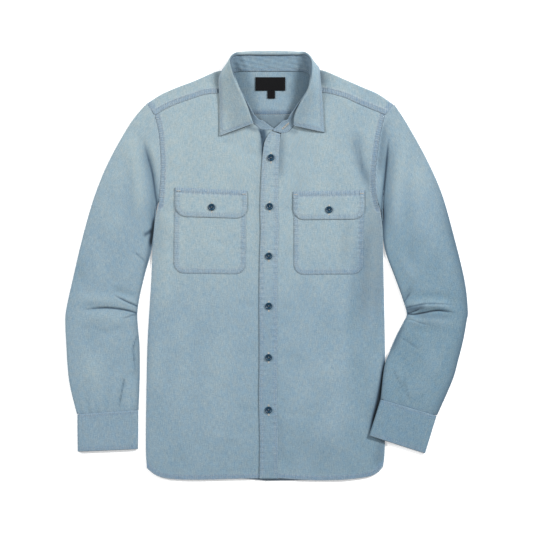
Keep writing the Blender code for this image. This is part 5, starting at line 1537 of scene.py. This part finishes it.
# %% Sew the pockets and flaps
def pocket_cloth(side, corners, flap_corners, button_node, base):
    """A pocket, the flap over it, and their stitches."""
    plan = rounded_grid(corners, 60, 16, 72)
    sewn = sewn_outline(plan)
    phase = 0.6 if side == "right" else 3.0

    def pocket_level(spots):
        away, along, _ = near(spots, sewn)
        relief = felled(away, 8.0, 0.25) + puckers(away - 6, along, 0.34, 7, 9.2, phase)
        puff = 0.4 * ease(away, 8, 40) - 0.55 * ease(away, 2.2, 0)
        return base(spots) + 1.0 + relief + puff

    away, along, _ = near(plan, sewn)
    ribs = 0.5 + 0.5 * np.sin(2 * math.pi * along / 9.2 + 1.6 * np.sin(along / 33 + phase))
    wear_and_shade = 0.25 * ease(away, 2.0, 0.3) + ribs * 0.3 * ease(abs(away - 8.5), 2.6, 0)
    # Painted shade where the body's shade lines cross the pocket.
    wear_and_shade -= folds(plan, BODY_SHADE)
    wash_and_shade = (body_depth(plan) + 0.01, 0.75 * ease(away, 11, 7), wear_and_shade, along)
    pocket = sew("pocket_" + side + "_cloth", np.dstack([plan, pocket_level(plan)]), SHELL,
                 CHAMBRAY, wash_and_shade)
    dress(pocket, "pocket_" + side)
    stitch("stitches_pocket_" + side,
           [on_cloth(beside(sewn, inset), pocket_level) for inset in (1.9, 7.6)])

    plan = rounded_grid(flap_corners, 24, 16, 84)
    rim = sewn_outline(plan)
    fold = plan[0]
    button = np.array([middle_of(button_node)[:2]])

    def flap_level(spots):
        away, along, _ = near(spots, rim)
        from_fold, fold_along, _ = near(spots, fold)
        relief = felled(np.minimum(away, from_fold), 7.5, 0.25)
        relief += puckers(away - 5.5, along, 0.36, 6, 9.4, phase + 1)
        relief += puckers(from_fold - 5, fold_along, 0.45, 6, 8.6, phase + 2)
        edge = 0.4 * ease(away, 2, 0) + 0.9 * ease(from_fold, 4, 0)
        dimple = 0.7 * np.exp(-(np.linalg.norm(spots - button[0], axis=-1) / 9) ** 2)
        hang = 0.5 * ease(from_fold, 10, 45)
        return pocket_level(spots) + 1.1 + relief - edge - dimple + hang

    away, along, _ = near(plan, rim)
    from_fold, fold_along, _ = near(plan, fold)
    ribs = 0.5 + 0.5 * np.sin(2 * math.pi * fold_along / 8.6 + 1.6 * np.sin(along / 29 + phase))
    wear_and_shade = 0.3 * ease(away, 2.0, 0.3) + ribs * 0.55 * ease(abs(from_fold - 10), 4, 0)
    mark = np.maximum(0.6 * ease(away, 10, 7), 1.0 * ease(from_fold, 12, 8))
    run = np.where(from_fold < 12, fold_along, along)
    wash_and_shade = (body_depth(plan), mark, wear_and_shade, run)
    flap = sew("pocket_flap_" + side + "_cloth", np.dstack([plan, flap_level(plan)]), FLAP_SHELL,
               CHAMBRAY, wash_and_shade)
    dress(flap, "pocket_flap_" + side)
    rows = [on_cloth(beside(rim, inset)[3:-3], flap_level, FLAP_SHELL) for inset in (1.9, 7.2)]
    rows += [on_cloth(beside(fold, -inset)[2:-2], flap_level, FLAP_SHELL) for inset in (1.8, 6.8)]
    stitch("stitches_flap_" + side, rows)
    return flap_level


flap_levels = {
    "right": pocket_cloth("right", POCKET_RIGHT, FLAP_RIGHT, "button_flap_right", front_level),
    "left": pocket_cloth("left", POCKET_LEFT, FLAP_LEFT, "button_flap_left", left_front_level),
}

# %% [markdown]
# ## Buttonholes and bar tacks
# A buttonhole is a slit between two tight rows of zigzag, and a bar tack is the same
# zigzag laid where a pocket's corner would tear. Both are beads laid close together, so
# the stitch function makes them with a short pitch. Under the buttons the buttonholes run
# up and down, and only their ends show.


# %% Buttonholes
ZIGZAG = {"pitch": 0.8, "length": 1.0, "width": 1.5, "height": 0.42}


def buttonhole(centre, heading, length, level, thickness):
    """Two close rows and two end bars round a slit, as rows for the stitch function."""
    along = np.array([math.cos(heading), math.sin(heading)])
    across = np.array([-along[1], along[0]])
    rows = []
    for offset in (-0.75, 0.75):
        ends = [centre + along * t + across * offset for t in (-length / 2, length / 2)]
        rows.append(on_cloth(along_line(ends, np.linspace(0, 1, 12)), level, thickness))
    for t in (-length / 2, length / 2):
        ends = [centre + along * t + across * offset for offset in (-1.3, 1.3)]
        rows.append(on_cloth(along_line(ends, np.linspace(0, 1, 6)), level, thickness))
    return rows


rows = []
for name in FRONT_BUTTONS:
    x, y, _ = middle_of(name)
    rows += buttonhole(np.array([x, y - 0.5]), math.pi / 2, 19.0, placket_level, 1.5)
stitch("buttonholes_placket", rows, BUTTON_THREAD, **ZIGZAG)
for side, level in flap_levels.items():
    x, y, _ = middle_of("button_flap_" + side)
    rows = buttonhole(np.array([x, y - 0.5]), math.pi / 2, 18.0, level, 1.2)
    stitch("buttonhole_flap_" + side, rows, BUTTON_THREAD, **ZIGZAG)


# %% The stand's buttonhole and the bar tacks
def stand_level(line):
    """The lapped end of the stand is nearly level."""
    return np.full(len(line), 6.65)


collar_hole = np.array([35.0, 251.6])
rows = buttonhole(collar_hole, math.radians(42), 15.0, stand_level, 1.5)
stitch("buttonhole_collar", rows, BUTTON_THREAD, **ZIGZAG)
TACKS = {"right": [(-157.3, 135.0), (-39.2, 129.2)], "left": [(53.6, 128.6), (172.6, 130.6)]}
TACK_LENGTH = 7.0
for side, places in TACKS.items():
    rows = []
    for x, y in places:
        ends = [(x - TACK_LENGTH / 2, y), (x + TACK_LENGTH / 2, y)]
        rows.append(on_cloth(along_line(ends, np.linspace(0, 1, 10)), flap_levels[side], 1.3))
    stitch("bar_tacks_" + side, rows, BUTTON_THREAD, pitch=0.6, length=0.9, width=1.7, height=0.45)

# %% [markdown]
# ## The buttons
# Each button is turned from a sheet of dark blue resin: a round rim, a dish inside it and
# four holes. A lathe profile gives the body, and a Boolean with four thin drills gives the
# holes. One mesh serves all the buttons, and each copy turns a little, because nobody
# sews two buttons on at the same angle.

# %% The resin's shader
RESIN = (14, 52, 78)
RESIN_LIGHT = (44, 100, 126)


def resin():
    """Dark, cloudy, polished resin."""
    wires = Wiring("button_resin_blue")
    where = wires.node("ShaderNodeTexCoord").outputs["Object"]
    mapped = wires.node("ShaderNodeMapping", {"Vector": where})
    mapped.inputs["Scale"].default_value = (1000,) * 3
    cloud = spread_out(wires, wires.noise(mapped.outputs[0], (4, 7, 4), detail=4), 0.35, 0.7)
    colour = wires.mix(wires.math("MULTIPLY", cloud, 0.5), linear(RESIN), linear(RESIN_LIGHT))
    wires.put(wires.shader.inputs["Base Color"], colour)
    scratches = wires.noise(mapped.outputs[0], (0.2, 2.5, 1.0), detail=2)
    rough = wires.math("ADD", 0.26, wires.math("MULTIPLY", scratches, 0.18))
    wires.put(wires.shader.inputs["Roughness"], rough)
    wires.shader.inputs["Specular IOR Level"].default_value = 0.35
    bump = wires.node("ShaderNodeBump", {"Height": scratches, "Distance": 0.02 * MM})
    wires.put(wires.shader.inputs["Normal"], bump.outputs["Normal"])
    return wires.material


BUTTON_RESIN = resin()
print("resin:", RESIN)

# %% Turn and drill one button
PROFILE = [(0.0, 0.0), (0.74, 0.0), (0.93, 0.10), (1.0, 0.34), (1.0, 0.62), (0.97, 0.84),
           (0.90, 0.97), (0.83, 1.0), (0.76, 0.96), (0.70, 0.84), (0.66, 0.74), (0.55, 0.66),
           (0.0, 0.64)]
LATHE_SIDES, DRILL_SIDES = 48, 12
HOLE_RADIUS, HOLE_SPREAD = 0.85, 1.45
BUTTON_HEIGHT = 2.6
DISH_SHARE = 0.66      # the dish's height, as a share of the button's
SHIRT_BUTTON_RADIUS = 6.35
DRILL = [(0, 0), (1, 0), (1, 1), (0, 1)]


def lathe(name, profile, radius, height, sides):
    """A closed turned shape from (share of radius, share of height) rows."""
    points, faces = [(0.0, 0.0, profile[0][1] * height)], []
    for out, up in profile[1:-1]:
        for k in range(sides):
            turn = 2 * math.pi * k / sides
            points.append((out * radius * math.cos(turn), out * radius * math.sin(turn), up * height))
    points.append((0.0, 0.0, profile[-1][1] * height))
    rings = len(profile) - 2
    for k in range(sides):
        n = (k + 1) % sides
        faces.append((0, 1 + n, 1 + k))
        for ring in range(rings - 1):
            low, high = 1 + ring * sides, 1 + (ring + 1) * sides
            faces.append((low + k, low + n, high + n, high + k))
        top = 1 + (rings - 1) * sides
        faces.append((top + k, top + n, len(points) - 1))
    mesh = bpy.data.meshes.new(name)
    mesh.from_pydata([tuple(value * MM for value in point) for point in points], [], faces)
    return mesh


def drilled_button(radius, height):
    """A button's mesh with four holes right through."""
    turned = lathe("button_blank", PROFILE, radius, height, LATHE_SIDES)
    blank = bpy.data.objects.new("button_blank", turned)
    bpy.context.collection.objects.link(blank)
    hole_radius = HOLE_RADIUS * radius / SHIRT_BUTTON_RADIUS
    drills = []
    for k in range(4):
        turn = math.pi / 4 + k * math.pi / 2
        rod = lathe("drill", DRILL, hole_radius, 3 * height, DRILL_SIDES)
        drill = bpy.data.objects.new("drill", rod)
        drill.location = (HOLE_SPREAD * math.cos(turn) * MM, HOLE_SPREAD * math.sin(turn) * MM,
                          -height * MM)
        bpy.context.collection.objects.link(drill)
        cut = blank.modifiers.new("hole", "BOOLEAN")
        cut.operation = "DIFFERENCE"
        cut.object = drill
        cut.solver = "EXACT"
        drills.append(drill)
    bpy.context.view_layer.update()
    ready = blank.evaluated_get(bpy.context.evaluated_depsgraph_get())
    mesh = bpy.data.meshes.new_from_object(ready)
    for item in [blank, *drills]:
        bpy.data.objects.remove(item)
    mesh.shade_smooth()
    mesh.set_sharp_from_angle(angle=math.radians(35))
    return mesh


BUTTON_RADIUS = (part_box("button_front_1")[1][0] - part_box("button_front_1")[0][0]) / 2 / MM
button_mesh = drilled_button(BUTTON_RADIUS, BUTTON_HEIGHT)
button_mesh.materials.clear()
button_mesh.materials.append(BUTTON_RESIN)
print("button:", len(button_mesh.polygons), "faces, radius", round(BUTTON_RADIUS, 2))

# %% Sew the buttons on
COLLAR_BUTTON_SCALE = 5.2 / SHIRT_BUTTON_RADIUS
SEAT = 0.75            # from the middle of the cloth up to a button's underside


def sew_button(node, turn, level, scale=1.0):
    """A button in its solid's place, sunk onto the cloth, and its crossed thread."""
    x, y, _ = middle_of(node)
    seat = level if isinstance(level, float) else float(level(np.array([[x, y]]))[0]) + SEAT
    piece = bpy.data.objects.new(node + "_resin", button_mesh)
    bpy.context.collection.objects.link(piece)
    piece.location = (x * MM, y * MM, seat * MM)
    piece.rotation_euler = (0, 0, math.radians(turn))
    piece.scale = (scale,) * 3
    dress(piece, node, slot="button_resin")
    dish = seat + BUTTON_HEIGHT * DISH_SHARE * scale
    rows = []
    for angle in (45, 135):
        heading = math.radians(turn + angle)
        way = np.array([math.cos(heading), math.sin(heading)])
        spots = [np.array([x, y]) + way * HOLE_SPREAD * scale * share for share in (-0.8, 0.8)]
        line = along_line(spots, np.linspace(0, 1, 5))
        rows.append((np.column_stack([line, np.full(5, dish)]), np.tile([0.0, 0.0, 1.0], (5, 1))))
    stitch(node + "_thread", rows, SEAM_THREAD, pitch=2.9 * scale, length=2.3 * scale,
           width=0.7, height=0.35)


for node, turn in zip(FRONT_BUTTONS, (12, -20, 34, 5, -38, 22)):
    sew_button(node, turn, placket_level)
for side, turn in (("right", 15), ("left", -28)):
    sew_button("button_flap_" + side, turn, flap_levels[side])
sew_button("button_collar", 40, middle_of("button_collar")[2], COLLAR_BUTTON_SCALE)

# %% [markdown]
# ## The label and its tab
# A woven label is sewn inside the back of the neck, with a small tab caught under it.
# Both are black satin tape, bare here. The tape's ribs run across it and its two ends are
# turned under and stitched.

# %% The tape's shader
TAPE = (15, 15, 17)
TAPE_RIB = (30, 30, 33)


def tape():
    """Black woven tape with fine ribs."""
    wires = Wiring("woven_label_tape")
    where = wires.node("ShaderNodeTexCoord").outputs["Object"]
    mapped = wires.node("ShaderNodeMapping", {"Vector": where})
    mapped.inputs["Scale"].default_value = (1000,) * 3
    rib = wires.node("ShaderNodeTexWave", {"Vector": mapped.outputs[0], "Scale": 0.5,
                                           "Distortion": 0.6}, bands_direction="Y")
    fleck = wires.noise(mapped.outputs[0], (1.2, 0.6, 1.0), detail=3)
    share = wires.math("MULTIPLY", rib.outputs["Fac"], fleck)
    wires.put(wires.shader.inputs["Base Color"], wires.mix(share, linear(TAPE), linear(TAPE_RIB)))
    rough = wires.math("ADD", 0.7, wires.math("MULTIPLY", fleck, 0.2))
    wires.put(wires.shader.inputs["Roughness"], rough)
    wires.shader.inputs["Specular IOR Level"].default_value = 0.12
    bump = wires.node("ShaderNodeBump", {"Height": rib.outputs["Fac"], "Distance": 0.12 * MM})
    wires.put(wires.shader.inputs["Normal"], bump.outputs["Normal"])
    return wires.material


LABEL_TAPE = tape()
print("tape:", TAPE)

# %% Sew the label and the tab
TAPE_SHELL = 0.7


def label_level(line):
    """Just under the label's face, where its stitches start."""
    return yoke_back_level(line) + CLOTH / 2 + 1.35


for node, count in (("neck_label", (28, 14)), ("size_tab", (12, 12))):
    low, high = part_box(node)
    xs = np.linspace(low[0], high[0], count[0]) / MM
    ys = np.linspace(low[1], high[1], count[1]) / MM
    plan = np.stack(np.meshgrid(xs, ys), -1)
    from_end = np.minimum(plan[..., 0] - xs[0], xs[-1] - plan[..., 0])
    height = yoke_back_level(plan) + CLOTH / 2 + 0.9 + 0.35 * ease(from_end, 7, 5)
    height += 0.25 * np.sin((plan[..., 0] - xs[0]) / 9 + 1) - 0.4 * ease(from_end, 1.5, 0)
    plain = np.zeros(plan.shape[:2])
    piece = sew(node + "_tape", np.dstack([plan, height]), TAPE_SHELL, LABEL_TAPE,
                (plain, plain, plain))
    dress(piece, node, slot="label_tape")
    if node == "neck_label":
        rows = []
        for x in (xs[0] + 1.6, xs[-1] - 1.6):
            line = np.column_stack([np.full(8, x), np.linspace(ys[0] + 1, ys[-1] - 1, 8)])
            rows.append(on_cloth(line, label_level, 0.3))
        stitch("stitches_label", rows, TAPE_THREAD, pitch=2.4, length=1.9)

# %% [markdown]
# ## The table, the light and the camera
# The shirt was photographed from straight above on white, in light so soft that its
# shadows are thin. A pale floor stands for the table, and glows a little so that it stays
# white. The stronger lamp stands to the upper right and shapes the folds, a weaker one to
# the upper left opens the shadows, and the sky fills the rest. The camera is far away with
# a long lens, so that the collar is hardly nearer than the hem.

# %% The table
FLOOR_HALF = 2.5
FLOOR_DROP = 0.0005


def floor_finish():
    """Matt white, with hardly any grain."""
    wires = Wiring("white_table")
    where = wires.node("ShaderNodeTexCoord").outputs["Object"]
    grain = wires.noise(where, (0.3, 0.3, 0.3))
    wires.put(wires.shader.inputs["Base Color"],
              wires.mix(grain, (0.86, 0.86, 0.86, 1), (0.88, 0.88, 0.88, 1)))
    wires.shader.inputs["Roughness"].default_value = 0.9
    wires.shader.inputs["Specular IOR Level"].default_value = 0.1
    wires.shader.inputs["Emission Color"].default_value = (1.0, 1.0, 1.0, 1.0)
    wires.shader.inputs["Emission Strength"].default_value = 0.3
    return wires.material


mesh = bpy.data.meshes.new("table_top")
quarters = ((-1, -1), (1, -1), (1, 1), (-1, 1))
corners = [(FLOOR_HALF * x, FLOOR_HALF * y, -FLOOR_DROP) for x, y in quarters]
mesh.from_pydata(corners, [], [(0, 1, 2, 3)])
mesh.materials.append(floor_finish())
floor = bpy.data.objects.new("table_top", mesh)
bpy.context.collection.objects.link(floor)


# %% The light
def lamp(name, place, size, power):
    """A square soft lamp that looks at the middle of the shirt."""
    data = bpy.data.lights.new(name, "AREA")
    data.size = size
    data.energy = power
    item = bpy.data.objects.new(name, data)
    item.location = place
    direction = -item.location
    item.rotation_euler = direction.to_track_quat("-Z", "Y").to_euler()
    bpy.context.collection.objects.link(item)


lamp("key", (3.2, 2.0, 2.6), 1.0, 250)
lamp("second", (-3.6, 1.6, 2.7), 1.4, 165)
world = bpy.data.worlds.new("studio")
world.use_nodes = True
sky = world.node_tree.nodes["Background"].inputs
sky["Color"].default_value = (1.0, 1.0, 1.0, 1.0)
sky["Strength"].default_value = 0.42
bpy.context.scene.world = world
bpy.context.scene.view_settings.view_transform = "Standard"

# %% The camera
PHOTO_WIDTH_MM = 959.4     # how much of the table the photograph takes in
PHOTO_MIDDLE_MM = (0.9, -0.9)
LENS = 250.0
SENSOR = 36.0
camera = bpy.data.objects.new("camera", bpy.data.cameras.new("camera"))
camera.data.sensor_width = SENSOR
camera.data.lens = LENS
away = PHOTO_WIDTH_MM * LENS / SENSOR
camera.location = (PHOTO_MIDDLE_MM[0] * MM, PHOTO_MIDDLE_MM[1] * MM, away * MM)
camera.data.clip_end = 100
bpy.context.collection.objects.link(camera)
bpy.context.scene.camera = camera
print("camera", round(camera.location.z, 2), "m up")
